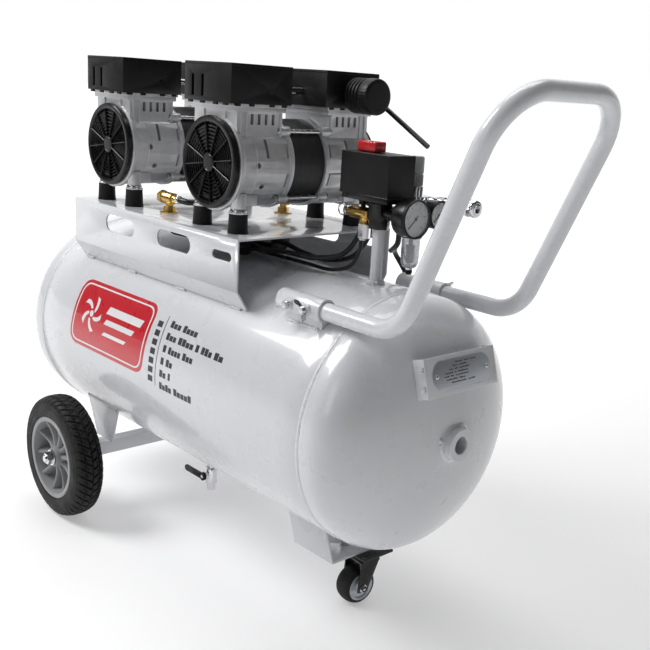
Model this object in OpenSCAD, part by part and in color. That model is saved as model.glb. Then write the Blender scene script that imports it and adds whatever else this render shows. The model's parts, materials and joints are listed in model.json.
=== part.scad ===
// Wheeled oil-free air compressor: horizontal tank, twin pump units on a folded
// platform, pressure controls on a standpipe and a tubular push handle.
// +X runs along the tank to the handle end, -Y is the side with the label, +Z is up.
// The origin is on the floor, under the middle of the whole machine.

/* [Air tank] */
// Outside diameter of the tank
tank_d = 370; // [368:1:371]
// Length of the rolled shell between its two weld seams
tank_len = 718; // [712:1:722]
// Thickness of the shell and of the domed ends
tank_wall = 3; // [2:0.5:4]
// Middle of the tank along the machine
tank_x = -66; // [-70:1:-62]
// Height of the tank's axis above the floor
tank_z = 304; // [303:1:306]
// Straight flange of each domed end
head_flange = 20; // [16:1:24]
// Depth of each domed end beyond its flange
head_depth = 92.5; // [88:0.5:96]

/* [Pump platform] */
// Length of the platform along the tank
plat_len = 474; // [470:1:478]
// Middle of the platform along the machine
plat_x = -128; // [-130:1:-126]
// Half width of the platform over its side aprons
plat_hw = 150; // [149:0.5:151]
// Height of the platform's top face
plat_z = 540; // [540:1:542]
// Height of the fold where the aprons turn in to the tank
fold_z = 465; // [463:1:467]
// Thickness of the folded sheet
sheet = 2.5; // [2:0.5:3]

/* [Pump units] */
// Middle of the first pump unit along the machine
unit_a = -276.5; // [-278:0.5:-275]
// Middle of the second pump unit along the machine
unit_b = 12.5; // [11:0.5:14]
// Height of the motor shaft
motor_z = 637.5; // [637:0.5:638]
// Outside radius of the cast housings
case_r = 66; // [65:0.5:66.5]
// Height of a rubber foot
foot_h = 28; // [26:1:28]

/* [Wheels] */
// Radius of the fixed wheels over the tyre
wheel_r = 106; // [104:1:108]
// Width of a fixed wheel's tyre
tyre_w = 50; // [46:1:52]
// Centre of a fixed wheel to the middle plane of the machine
wheel_y = 222; // [220:1:224]
// Position of the wheel axle along the machine
axle_x = -277; // [-280:1:-274]
// Radius of the swivel castor's wheel
castor_r = 29; // [25:0.5:30]
// Position of the castor's swivel along the machine
castor_x = 267; // [262:1:270]

/* [Handle] */
// Outside radius of the handle tube
tube_r = 12.5; // [12:0.25:12.5]
// Half spacing of the two handle legs
leg_y = 117.5; // [117.5:0.5:118.5]
// Height of the lower, level part of the handle
leg_z = 468; // [468:0.5:469]

/* [Controls] */
// Position of the standpipe along the machine
pipe_x = 233; // [232:1:234]
// Diameter of the tank gauge
gauge_d = 52; // [48:1:54]
// Diameter of the outlet gauge
gauge2_d = 40; // [36:1:42]

/* [Hidden] */
$fn = 64;
R = tank_d / 2;
x0 = tank_x - tank_len / 2;
x1 = tank_x + tank_len / 2;
reg_x = 240;
reg_y = 60;
out_y = 88;
out_z = 606;
gz = 590;

module cx(r, a, b, y = 0, z = 0) { translate([a, y, z]) rotate([0, 90, 0]) cylinder(r = r, h = b - a); }
module cy(r, a, b, x = 0, z = 0) { translate([x, b, z]) rotate([90, 0, 0]) cylinder(r = r, h = b - a); }
module cz(r, a, b, x = 0, y = 0) { translate([x, y, a]) cylinder(r = r, h = b - a); }
module bx(a, b, c, d, e, f) { translate([a, c, e]) cube([b - a, d - c, f - e]); }
// a profile given as [distance from axis, height], turned about X
module turn_x(pts, x = 0, y = 0, z = 0) { translate([x, y, z]) rotate([0, 90, 0]) rotate_extrude() polygon(pts); }
module turn_y(pts, x = 0, y = 0, z = 0) { translate([x, y, z]) rotate([-90, 0, 0]) rotate_extrude() polygon(pts); }
module both_y() { children(); mirror([0, 1, 0]) children(); }

// ---- tubes swept along a route of points
function vsub(a, b) = [a[0] - b[0], a[1] - b[1], a[2] - b[2]];
function unit(v) = v / norm(v);
function cr(p, i, t) = let (n = len(p), a = p[max(i - 1, 0)], b = p[i], c = p[min(i + 1, n - 1)], d = p[min(i + 2, n - 1)])
    0.5 * ((2 * b) + (c - a) * t + (2 * a - 5 * b + 4 * c - d) * t * t + (3 * b - a - 3 * c + d) * t * t * t);
function smooth(p, k) = concat([for (i = [0 : len(p) - 2]) for (j = [0 : k - 1]) cr(p, i, j / k)], [p[len(p) - 1]]);
function tang(q, i) = unit(q[min(i + 1, len(q) - 1)] - q[max(i - 1, 0)]);
// side vector carried along the route so the rings don't twist
function side(q, i, s) = let (t = tang(q, i), w = s - (s * t) * t) unit(w);
function frames(q, i, s) = i >= len(q) ? [] : let (w = side(q, i, s)) concat([w], frames(q, i + 1, w));
module sweep(q, r, n, s) {
    f = frames(q, 0, s);
    m = len(q);
    pts = [for (i = [0 : m - 1]) let (t = tang(q, i), u = f[i], v = cross(t, u))
            for (j = [0 : n - 1]) q[i] + r * (cos(360 * j / n) * u + sin(360 * j / n) * v)];
    faces = concat([[for (j = [0 : n - 1]) j]],
        [for (i = [0 : m - 2]) for (j = [0 : n - 1]) [i * n + j, (i + 1) * n + j, (i + 1) * n + (j + 1) % n, i * n + (j + 1) % n]],
        [[for (j = [n - 1 : -1 : 0]) (m - 1) * n + j]]);
    polyhedron(points = pts, faces = faces);
}

// ---- tank
function dome(r, d, n) = [for (i = [0 : n]) [r * cos(90 * i / n), head_flange + d * sin(90 * i / n)]];
// rolled shell with its weld beads and the drain boss under it
module tank_shell() color("whitesmoke") difference() {
    union() {
        cx(R, x0, x1, 0, tank_z);
        cx(R + 1.2, x0, x0 + 5, 0, tank_z);
        cx(R + 1.2, x1 - 5, x1, 0, tank_z);
        cz(12, tank_z - R - 22, tank_z - R + 3, -150, 0);
    }
    cx(R - tank_wall, x0 - 1, x1 + 1, 0, tank_z);
    cz(7, tank_z + 100, tank_z + R + 10, pipe_x, 0);
    cz(6.5, tank_z - R - 30, tank_z - 100, -150, 0);
}
module head() {
    rotate([0, 90, 0]) rotate_extrude() polygon(concat([[R, 0]], dome(R, head_depth, 12),
        [for (i = [12 : -1 : 0]) let (q = dome(R - tank_wall, head_depth - tank_wall, 12)[i]) q], [[R - tank_wall, 0]]));
}
// domed ends; the front one carries a threaded boss
module tank_heads() color("whitesmoke") {
    difference() {
        union() {
            translate([x1, 0, tank_z]) head();
            cx(23, x1 + 100, x1 + 124, 0, tank_z);
        }
        cx(12.05, x1 + 90, x1 + 130, 0, tank_z);
    }
    translate([x0, 0, tank_z]) mirror([1, 0, 0]) head();
}
// folded bracket whose flanges are cut to the dome
module rating_bracket() color("whitesmoke") difference() {
    translate([404, 2, 404]) rotate([0, -17, 0]) {
        bx(-2, 0, -70, 70, -26, 26);
        both_y() bx(-20, -2, 67.5, 70, -26, 26);
    }
    translate([x1 + 0.1, 0, tank_z]) rotate([0, 90, 0]) rotate_extrude() polygon(concat([[0, 0], [R, 0]], dome(R, head_depth, 12)));
}
module rating_plate() color("silver") translate([404, 2, 404]) rotate([0, -17, 0]) {
    difference() {
        union() {
            bx(0, 0.8, -38, 38, -20, 20);
            cx(20, 0, 0.8, -38, 0);
            cx(20, 0, 0.8, 38, 0);
        }
        cx(1.6, -1, 2, -50, 0);
        cx(1.6, -1, 2, 50, 0);
    }
    both_y() { cx(1.6, 0, 2, 50, 0); cx(2.8, 0.8, 2, 50, 0); }
}
module standpipe() color("whitesmoke") difference() {
    union() {
        cz(8.5, tank_z + R - 1, 567, pipe_x, 0);
        cz(13, tank_z + R - 2, tank_z + R + 4, pipe_x, 0);
    }
    cz(6, tank_z + R - 10, 570, pipe_x, 0);
    cx(R + 0.02, pipe_x - 30, pipe_x + 30, 0, tank_z);
}
module drain_valve() color("silver") difference() {
    union() {
        cz(6.5, tank_z - R - 45, tank_z - R - 4, -150, 0);
        translate([-150, 0, tank_z - R - 34]) cylinder(r = 11, h = 12, $fn = 6);
        cz(10, 44, 74, -150, 0);
        cz(7.5, 31, 44, -150, 0);
        cy(6, -15, 0, -150, 60);
        cy(3, -21.5, -15, -150, 60);
    }
    cz(4, 20, tank_z - R, -150, 0);
}
module drain_lever() color("#1b1b1c") difference() {
    union() {
        cy(7.5, -21, -16, -150, 60);
        bx(-200, -150, -21, -17.5, 54.5, 65.5);
        cy(5.5, -21, -17.5, -200, 60);
    }
    cy(3.05, -30, -10, -150, 60);
}

// ---- platform
px0 = plat_x - plat_len / 2;
px1 = plat_x + plat_len / 2;
module slot_y(x, l, h, z) {
    bx(x - l / 2 + h / 2, x + l / 2 - h / 2, -plat_hw - 5, plat_hw + 5, z - h / 2, z + h / 2);
    cy(h / 2, -plat_hw - 5, plat_hw + 5, x - l / 2 + h / 2, z);
    cy(h / 2, -plat_hw - 5, plat_hw + 5, x + l / 2 - h / 2, z);
}
module pump_platform() color("whitesmoke") difference() {
    union() {
        bx(px0, px1, -plat_hw, plat_hw, plat_z - sheet, plat_z);
        both_y() bx(px0, px1, plat_hw - sheet, plat_hw, fold_z, plat_z - 1);
        both_y() translate([px0, 0, 0]) rotate([90, 0, 90]) linear_extrude(height = plat_len)
            polygon([[plat_hw, fold_z], [plat_hw, fold_z + 1], [plat_hw - sheet, fold_z + 1], [128.8, 438.6], [131, 436.6]]);
    }
    cx(R + 0.05, px0 - 5, px1 + 5, 0, tank_z);
    slot_y(-213.5, 89, 28, 512);
    slot_y(-54.5, 91, 27, 512);
    slot_y(70.5, 47, 13, 512);
    cz(8, 500, 560, -152, -95);
    cz(8, 500, 560, -91, 91);
    for (u = [unit_a, unit_b]) for (i = [-45, 45]) for (j = [-113, 113]) cz(3.5, 500, 560, u + i, j);
}
module check_valve(x, y) translate([x, y, 0]) difference() {
    union() {
        translate([0, 0, plat_z]) cylinder(r = 15, h = 1.6);
        translate([0, 0, plat_z + 1.6]) cylinder(r = 9.5, h = 8, $fn = 6);
        cz(7.9, 517, 541, 0, 0);
        cz(6, 545, 566, 0, 0);
        cx(9, -14, 12, 0, 563);
        translate([-23, 0, 563]) rotate([0, 90, 0]) cylinder(r = 11, h = 10, $fn = 6);
        cx(6, 10, 22, 0, 563);
    }
    cz(4, 516, 563, 0, 0);
    cx(4, 0, 23, 0, 563);
}
module check_valves() color("goldenrod") { check_valve(-152, -95); check_valve(-91, 91); }

module hoses_and_leads() color("#141414") {
    // delivery hoses from the heads to the check valves
    sweep(smooth([[-129.8, -95, 563], [-116, -95, 563], [-102, -88, 562], [-96, -60, 565], [-98, -20, 574], [-103, 10, 594], [-112, 34, 626], [-128, 50, 665], [-150, 52, 700], [-178, 50, 732], [-200, 50, 749], [-218.8, 50, 750]], 3), 5, 10, [0, 0, 1]);
    sweep(smooth([[-68.8, 91, 563], [-62, 91, 563], [-57, 89, 568], [-60, 86, 582], [-66, 84, 605], [-68, 82, 640], [-67, 80, 680], [-65, 83, 715], [-61, 85.6, 738], [-53.4, 86, 749.2], [-45.3, 86, 750]], 3), 5, 10, [0, 0, 1]);
    // switch leads down to the capacitors
    sweep(smooth([[184, 14, 593.8], [184, 14, 570], [180, 10, 545], [160, 0, 518], [120, -20, 508], [80, -36, 510], [40, -45, 508], [6.2, -45, 508]], 3), 4, 8, [0, 1, 0]);
    sweep(smooth([[200, 14, 593.8], [200, 15, 572], [194, 16, 545], [168, 14, 515], [120, 10, 502], [70, 6, 504], [36, 0, 512], [6.2, 0, 512]], 3), 4, 8, [0, 1, 0]);
    // unloader hose from the relief fitting
    sweep(smooth([[203, -4, 548.8], [202, -5, 530], [188, -9, 506], [150, -12, 494.8], [104, -14, 495], [60, -20, 496.5], [10, -23, 497], [-60, -25, 498], [-104, -32, 500], [-130, -62, 502], [-149, -88, 507], [-152, -95, 516.8]], 3), 3, 8, [0, 1, 0]);
    // breather tube by the rear air filter
    sweep([[72.4, 120, 747], [136, 120, 713], [203, 120, 677.5]], 4, 10, [0, 1, 0]);
}
module run_capacitors() color("#26282a") {
    for (y = [-45, 0]) { cx(19, -92, 2, y + (y < 0 ? -12 : 12), 512); cx(8, 2, 6, y, y < 0 ? 508 : 512); }
}

// ---- handle
module handle_sockets() color("whitesmoke") both_y() difference() {
    union() {
        cx(16, 176, 264, leg_y, leg_z);
        bx(186, 262, leg_y - 16, leg_y + 5, leg_z - 26, leg_z - 8);
        for (x = [206, 242]) cy(7, leg_y + 14, leg_y + 19, x, leg_z);
    }
    cx(tube_r + 0.4, 170, 270, leg_y, leg_z);
    cx(R + 0.02, 160, 280, 0, tank_z);
    for (x = [206, 242]) cy(3.1, leg_y + 5, leg_y + 30, x, leg_z);
}
bend_x = 397;
top_x = 525;
top_z = 767;
ux = (top_x - bend_x) / norm([top_x - bend_x, top_z - leg_z]);
uz = (top_z - leg_z) / norm([top_x - bend_x, top_z - leg_z]);
// points round a corner c, from direction a to direction b, with radius r
function corner(c, a, b, r, n) = let (h = acos(a * b) / 2, d = r * tan(h), m = unit(b - a), o = c + m * (r / cos(h)),
    s = c - a * d, e0 = unit(s - o)) [for (i = [0 : n]) let (g = 2 * h * i / n) o + r * (cos(g) * e0 + sin(g) * a)];
up = [ux, 0, uz];
half_h = concat([[183, -leg_y, leg_z], [260, -leg_y, leg_z], [320, -leg_y, leg_z]],
    corner([bend_x, -leg_y, leg_z], [1, 0, 0], up, 62, 8),
    [[bend_x, -leg_y, leg_z] + 150 * up],
    corner([top_x, -leg_y, top_z], up, [0, 1, 0], 72, 9));
handle_route = concat(half_h, [for (i = [len(half_h) - 1 : -1 : 0]) [half_h[i][0], -half_h[i][1], half_h[i][2]]]);
module handle() color("whitesmoke") difference() {
    sweep(handle_route, tube_r, 20, [0, 0, 1]);
    for (s = [-1, 1]) cx(tube_r - 2, 180, 200, s * leg_y, leg_z);
}
module wing_bolts() color("silver") both_y() for (x = [206, 242]) {
    cy(3, leg_y + 12.85, leg_y + 27, x, leg_z);
    cy(5.5, leg_y + 21, leg_y + 27, x, leg_z);
    translate([x, leg_y + 27, leg_z]) rotate([0, x == 206 ? 20 : -55, 0]) bx(-15, 15, -3, 5, -1.5, 1.5);
}

// ---- fixed wheels
module wheel_carrier() color("whitesmoke") {
    difference() {
        bx(axle_x - 12, axle_x + 12, -192, 192, wheel_r - 12, wheel_r + 12);
        bx(axle_x - 9.5, axle_x + 9.5, -180, 180, wheel_r - 9.5, wheel_r + 9.5);
        for (s = [-1, 1]) translate([0, s * 186, 0]) cy(6.1, -8, 8, axle_x, wheel_r);
    }
    both_y() difference() {
        translate([0, 142, 0]) rotate([90, 0, 0]) linear_extrude(height = 4)
            polygon([[-340, 215], [-233, 215], [-233, 190], [axle_x + 22, wheel_r + 12], [axle_x - 30, wheel_r + 12], [-340, 186]]);
        cx(R + 0.05, -400, -200, 0, tank_z);
    }
}
module axle_bolts() color("silver") both_y() {
    cy(6, 182, wheel_y + 36, axle_x, wheel_r);
    translate([axle_x, 180, wheel_r]) rotate([90, 0, 0]) cylinder(r = 9, h = 7, $fn = 6);
    cy(6, 172, 184, axle_x, wheel_r);
    translate([axle_x, wheel_y + 33, wheel_r]) rotate([90, 0, 0]) cylinder(r = 11, h = 9, $fn = 6);
    cy(14, wheel_y + 21.8, wheel_y + 24.4, axle_x, wheel_r);
}
module tyre(s) color("#161616") translate([axle_x, s * wheel_y, wheel_r]) difference() {
    rotate([90, 0, 0]) rotate_extrude($fn = 96) polygon([[71, -tyre_w / 2 + 1], [80, -tyre_w / 2], [95, -tyre_w / 2 + 1.5],
        [102, -tyre_w / 2 + 6], [wheel_r - 0.6, -tyre_w / 2 + 14], [wheel_r, 0], [wheel_r - 0.6, tyre_w / 2 - 14],
        [102, tyre_w / 2 - 6], [95, tyre_w / 2 - 1.5], [80, tyre_w / 2], [71, tyre_w / 2 - 1]]);
}
module rim(s) color("gray") translate([axle_x, s * wheel_y, wheel_r]) mirror([0, s > 0 ? 1 : 0, 0]) {
    difference() {
        union() {
            cy(71, -tyre_w / 2 + 1, tyre_w / 2 - 1);
        }
        cy(63, -tyre_w / 2, tyre_w / 2);
    }
    difference() {
        union() {
            cy(17, -21.5, 21.5);
            for (a = [0 : 45 : 315]) rotate([0, a, 0]) bx(14, 64.5, -16, -4, -4.5, 4.5);
            difference() { cy(64, 2, 6); cy(16, 0, 8); for (a = [22.5 : 45 : 360]) rotate([0, a, 0]) cy(9, 0, 8, 43, 0); }
        }
        cy(6.05, -30, 30);
    }
}

// ---- castor
module front_foot() color("whitesmoke") difference() {
    union() {
        translate([0, 75, 0]) rotate([90, 0, 0]) linear_extrude(height = 150)
            polygon([[150, 150], [176, 84], [262, 84], [233, 150]]);
    }
    translate([0, 72, 0]) rotate([90, 0, 0]) linear_extrude(height = 144)
        polygon([[110, 160], [140, 87], [280, 87], [280, 160]]);
    cx(R + 0.05, 100, 300, 0, tank_z);
    for (i = [-1, 1]) for (j = [-1, 1]) cz(3.1, 80, 92, castor_x - 15 + i * 22, j * 22);
}
module castor_plate() color("#1d1d1e") difference() {
    union() {
        bx(castor_x - 45, castor_x + 15, -30, 30, 80.5, 84);
        cz(16, 77, 80.5, castor_x - 15, 0);
        cz(5, 74, 77, castor_x - 15, 0);
        for (j = [-1, 1]) {
            cz(3, 84, 91, castor_x - 37, j * 22);
            translate([castor_x - 37, j * 22, 87.1]) cylinder(r = 5.5, h = 4.5, $fn = 6);
            translate([castor_x - 37, j * 22, 77.4]) cylinder(r = 5, h = 3.1, $fn = 6);
        }
    }
    for (j = [-1, 1]) cz(3.1, 70, 90, castor_x + 7, j * 22);
}
// the castor rests swivelled to one side
module swivelled() { translate([castor_x - 15, 0, 0]) rotate([0, 0, -95]) translate([15 - castor_x, 0, 0]) children(); }
module castor_fork() color("#1d1d1e") swivelled() difference() {
    union() {
        cz(16, 71.5, 76.7, castor_x - 15, 0);
        bx(castor_x - 29, castor_x + 6, -19.5, 19.5, 68.5, 72);
        both_y() translate([0, 19.5, 0]) rotate([90, 0, 0]) linear_extrude(height = 2.5)
            polygon([[castor_x - 29, 72], [castor_x + 6, 72], [castor_x + 9, castor_r - 6], [castor_x - 8, castor_r - 7]]);
        cy(3, -21.5, 21.5, castor_x, castor_r);
        both_y() translate([castor_x, 23.5, castor_r]) rotate([90, 0, 0]) cylinder(r = 5, h = 4, $fn = 6);
    }
    cz(5.05, 60, 80, castor_x - 15, 0);
    cz(9, 76.7, 80, castor_x - 15, 0);
}
module castor_wheel() color("#161616") swivelled() translate([castor_x, 0, castor_r]) {
    rotate([90, 0, 0]) rotate_extrude() polygon([[3.05, -16], [9, -16], [9, -12], [21, -12], [21, -15], [25.5, -15],
        [castor_r - 0.8, -10], [castor_r, 0], [castor_r - 0.8, 10], [25.5, 15], [21, 15], [21, 12], [9, 12], [9, 16], [3.05, 16]]);
}

// ---- pump units; local frame on the motor shaft, front half towards -Y
module at_unit(u, s = -1) { translate([u, 0, motor_z]) mirror([0, s > 0 ? 1 : 0, 0]) children(); }
rod_q = 48.8;
module housing() color("#b9bbbe") difference() {
    union() {
        cy(case_r, -128, -31);
        cy(case_r + 3, -128, -121);
        cy(case_r + 2.5, -38, -31);
        bx(-52, 52, -126, -45, 40, 74.5);
        bx(-55, 55, -130, -41, 74.5, 81.5);
        for (i = [-1, 1]) {
            cz(11, -motor_z + plat_z + foot_h, -40, i * 45, -113);
            bx(i * 45 - 8, i * 45 + 8, -113, -86, -58, -42);
            for (k = [-1, 1]) cy(7, -46, -31.2, i * rod_q, k * rod_q);
        }
    }
    cy(61, -129, -56);
    cy(61, -50, -30);
    cy(11, -60, -45);
    cz(26, 0, 90, 0, -86);
    for (i = [-1, 1]) {
        for (k = [-1, 1]) { cy(2.7, -60, -20, i * rod_q, k * rod_q); cy(5.8, -53, -46, i * rod_q, k * rod_q); }
        mirror([i > 0 ? 1 : 0, 0, 0]) {
            rotate([0, -1, 0]) cx(4.2, 50, 80, -95, 0);
            rotate([0, 27, 0]) cx(4.2, 50, 80, -83, 0);
            rotate([0, -22, 0]) bx(57, 80, -80.5, -75.5, -14, 14);
            for (a = [-19, 19]) rotate([0, a, 0]) bx(62, 80, -43.5, -39.5, -10, 10);
            for (j = [0 : 3]) bx(40, 60, -102 + 12.5 * j, -97 + 12.5 * j, 57, 72);
        }
        for (a = [40, 140, 220, 320]) rotate([0, a, 0]) bx(57, 63.5, -54, -52, -6, 6);
    }
    for (i = [-1, 1]) cz(3, -motor_z + 550, -56, i * 45, -113);
}
module housing_front_a() at_unit(unit_a) housing();
module housing_rear_a() at_unit(unit_a, 1) housing();
module housing_front_b() at_unit(unit_b) housing();
module housing_rear_b() at_unit(unit_b, 1) housing();
module units() for (u = [unit_a, unit_b]) translate([u, 0, motor_z]) children();
module stators() units() {
    color("#1a1a1b") difference() { cy(64.5, -30.8, 30.8); cy(35, -40, 40); }
    color("#b5651d") both_y() difference() { cy(56, 31, 45); cy(40, 30, 46); }
}
module bearings() color("silver") units() both_y() difference() { cy(11, 50, 56); cy(6.05, 40, 60); }
module rotor() color("silver") {
    cy(34.4, -30, 30);
    cy(6, -127, 127);
    both_y() translate([5, 0, 0]) cy(15, 79, 93);
}
module rotor_a() translate([unit_a, 0, motor_z]) rotor();
module rotor_b() translate([unit_b, 0, motor_z]) rotor();
module fans() color("#202122") both_y() difference() {
    union() {
        cy(13, 113.5, 125.5);
        for (a = [0 : 40 : 320]) rotate([0, a, 0]) translate([0, 119.5, 0]) rotate([35, 0, 0]) bx(10, 55, -1, 1, -6, 6);
    }
    cy(6, 100, 130);
}
module fans_a() translate([unit_a, 0, motor_z]) fans();
module fans_b() translate([unit_b, 0, motor_z]) fans();
module pistons() color("#c9c9c4") both_y() {
    cz(25.95, 61, 71, 0, 86);
    bx(-7, 7, 82, 90, 27, 61.5);
}
module pistons_a() translate([unit_a, 0, motor_z]) pistons();
module pistons_b() translate([unit_b, 0, motor_z]) pistons();
module valve_plates() color("#c4c6c8") units() both_y() difference() {
    bx(-56, 56, 38, 133, 81.5, 85.5);
    for (i = [-20, 20]) cz(5, 80, 90, i, 86);
}
module cover() difference() {
    bx(-57, 57, 33, 141, 85.5, 139.5);
    bx(-54, 54, 36, 138, 84, 136.5);
    for (i = [-36, -12]) bx(i - 3, i + 3, 130, 150, 92, 122);
    cx(5, 50, 60, 70, 104);
    cy(5.1, 20, 40, 0, 106.5);
}
module head_covers() color("#181818") units() both_y() cover();
module transfer_tubes() color("silver") units() difference() { cy(5, -34, 34, 0, 106.5); cy(3.5, -40, 40, 0, 106.5); }
module air_filters() color("#181818") units() difference() {
    union() {
        cx(12, 57, 68, 86, 105.5);
        for (i = [0 : 4]) cx(i % 2 == 0 ? 26 : 23.5, 66 + 6 * i, 72.2 + 6 * i, 86, 105.5);
        cx(27, 96, 115, 86, 105.5);
    }
    cx(9, 56, 110, 86, 105.5);
}
module grille() difference() {
    union() {
        cy(66.5, -138, -128.2);
    }
    difference() {
        cy(56, -140, -126);
        cy(13, -141, -125);
        for (r = [24, 35, 46]) difference() { cy(r + 1.2, -141, -125); cy(r - 1.2, -142, -124); }
        for (a = [0 : 30 : 330]) rotate([0, a, 0]) bx(10, 57, -141, -125, -1.3, 1.3);
    }
    cy(53, -134, -125);
}
module fan_grilles() color("#141414") units() both_y() grille();
module tie_rods() color("silver") units() for (i = [-1, 1]) for (k = [-1, 1]) {
    cy(2.6, -50, 50, i * rod_q, k * rod_q);
    both_y() translate([i * rod_q, 50, k * rod_q]) rotate([90, 0, 0]) cylinder(r = 5, h = 3.9, $fn = 6);
}
module rubber_feet() color("#151515") for (u = [unit_a, unit_b]) for (i = [-45, 45]) for (j = [-113, 113])
    translate([u + i, j, plat_z]) cylinder(r1 = 15, r2 = 13.5, h = foot_h);

// ---- controls
module manifold() color("#1c1c1e") difference() {
    union() {
        translate([pipe_x, 0, 567]) cylinder(r = 15, h = 12, $fn = 6);
        bx(pipe_x - 12, pipe_x + 12, -11, 11, 579, 602);
        cz(7, 601, 606, pipe_x, 0);
        cx(6.5, 244, 270, 0, gz);
        cx(4.6, 216.2, 223, 0, gz - 6);
        cy(6.5, 10, 45, 238, gz + 2);
    }
    cz(5, 560, 600, pipe_x, 0);
    cx(3.2, 230, 276, 0, gz);
}
module switch_base() color("#17181a") {
    bx(181, 270, -26, 19, 606, 613);
    for (x = [184, 200]) cz(6.5, 594, 607, x, 14);
    bx(204, 262, -20, 10, 613, 640);
    // tapered strain relief of the mains lead
    translate([258, 14, 582]) cylinder(r1 = 5, r2 = 7, h = 24.5);
}
module switch_cover() color("#141414") difference() {
    bx(178, 273, -29, 22, 613.3, 671);
    bx(180.5, 270.5, -26.5, 19.5, 612, 668.5);
    bx(206, 222, -13, 1, 660, 680);
}
module switch_knob() color("#b51f22") {
    bx(196, 232, -17, 5, 671.3, 686);
    bx(206.4, 221.6, -12.6, 0.6, 652, 672);
}
module safety_valve() color("goldenrod") difference() {
    union() {
        cx(8.5, 176, 205, 0, gz - 6);
        translate([203, 0, gz - 6]) rotate([0, 90, 0]) cylinder(r = 9.5, h = 13, $fn = 6);
        cx(6, 170, 177, 0, gz - 6);
        cz(7.5, 571, 584, 204, 0);
        translate([204, 0, 549]) cylinder(r = 9, h = 22, $fn = 6);
    }
    cx(2.3, 160, 190, 0, gz - 6);
}
module safety_ring() color("silver") {
    cx(2.2, 162, 186, 0, gz - 6);
    translate([156, 0, gz - 6]) rotate([90, 0, 0]) rotate_extrude() translate([8, 0]) circle(r = 1.3, $fn = 16);
    cx(6.8, 163, 169, 0, gz - 6);
}
module gauge(d, x, y, z, len) difference() {
    union() {
        cx(d / 2, x - len, x, y, z);
        cx(d / 2 + 0.8, x - 5, x, y, z);
        cx(5, x - len - 8, x - len, y, z);
    }
    cx(d / 2 - 2, x - 5, x + 1, y, z);
    cx(2.2, x - len - 9, x - len - 1, y, z);
}
module gauge_bodies() color("#151515") {
    difference() { gauge(gauge_d, 305, 0, gz, 27); cx(0.8, 297, 302, 0, gz); }
    difference() { gauge(gauge2_d, 293, reg_y, gz + 1, 22); cx(0.8, 285, 290, reg_y, gz + 1); }
}
module needle(l, x, y, z, a) translate([x, y, z]) rotate([a, 0, 0]) {
    cx(0.75, -2, 1.6);
    cx(2.2, 0.6, 1.6);
    bx(0.6, 1.4, -0.7, 0.7, -l / 3, l);
}
module tank_needle() color("black") needle(18, 300, 0, gz, 135);
module outlet_needle() color("black") needle(13, 288, reg_y, gz + 1, 135);
module regulator_body() color("silver") difference() {
    union() {
        cz(15, 555, 612, reg_x, reg_y);
        cz(11.5, 612, 626, reg_x, reg_y);
        cx(6, 250, 263, reg_y, gz + 1);
    }
    cz(13.6, 540, 558, reg_x, reg_y);
    cz(4.05, 612, 640, reg_x, reg_y);
}
module regulator_knob() color("#8d9093") {
    cz(10.5, 626.3, 668, reg_x, reg_y);
    cz(4, 614, 627, reg_x, reg_y);
}
module filter_bowl() color("#dfe6e8") difference() {
    union() { cz(13.4, 508, 557.8, reg_x, reg_y); cz(5, 498, 508, reg_x, reg_y); }
    cz(11.4, 511, 560, reg_x, reg_y);
}
module outlet_coupler() color("silver") difference() {
    union() {
        cy(6.5, 75.3, out_y, reg_x, out_z - 2);
        cx(7.5, 232, 262, out_y, out_z - 2);
        translate([262, out_y, out_z - 2]) rotate([0, 90, 0]) cylinder(r = 9.5, h = 12, $fn = 6);
        cx(7, 274, 304, out_y, out_z - 2);
        cx(9.5, 304, 311, out_y, out_z - 2);
        cx(7.8, 311, 334, out_y, out_z - 2);
    }
    cx(5.2, 300, 336, out_y, out_z - 2);
}
module coupler_sleeve() color("silver") difference() {
    union() { cx(11.5, 315, 333, out_y, out_z - 2); cx(12.5, 317, 320, out_y, out_z - 2); cx(12.5, 328, 331, out_y, out_z - 2); }
    cx(7.85, 310, 340, out_y, out_z - 2);
}

// ---- mains lead: gland at the switch, over the far side of the tank, to a coil on the floor
lead_r = 4;
lead_route = [[258, 14, 582], [257, 16, 566], [250, 22, 548], [226, 38, 534], [198, 64, 526], [170, 100, 522], [150, 124, 508],
    [158, 137, 484], [172, 148, 452], [172, 164, 420], [160, 180, 376], [140, 192, 330], [124, 196, 280], [112, 197, 220],
    [104, 198, 160], [99, 199, 100], [97, 202, 56], [98, 210, 22], [101, 228, 6], [103, 248, 4.2], [104, 268, 4.2], [104, 290, 4.2]];
tail_route = [[56, 338, 12.2], [42, 338, 12.1], [28, 338, 12], [14, 338, 12]];
coil_c = [56, 290, 0];
module mains_lead() color("#141414") {
    sweep(smooth(lead_route, 3), lead_r, 8, [1, 0, 0]);
    sweep(tail_route, lead_r, 8, [0, 0, 1]);
}
module mains_coil() color("#141414") translate(coil_c) rotate_extrude() translate([36, 0]) square([16, 16.3]);
module mains_plug() color("#161616") translate([-22, 338, 0]) {
    bx(-17, 17, -13, 13, 0, 24);
    cx(5, 17, 36, 0, 12);
    for (y = [-9.5, 9.5]) cx(2.4, -37, -17, y, 12);
}

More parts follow.
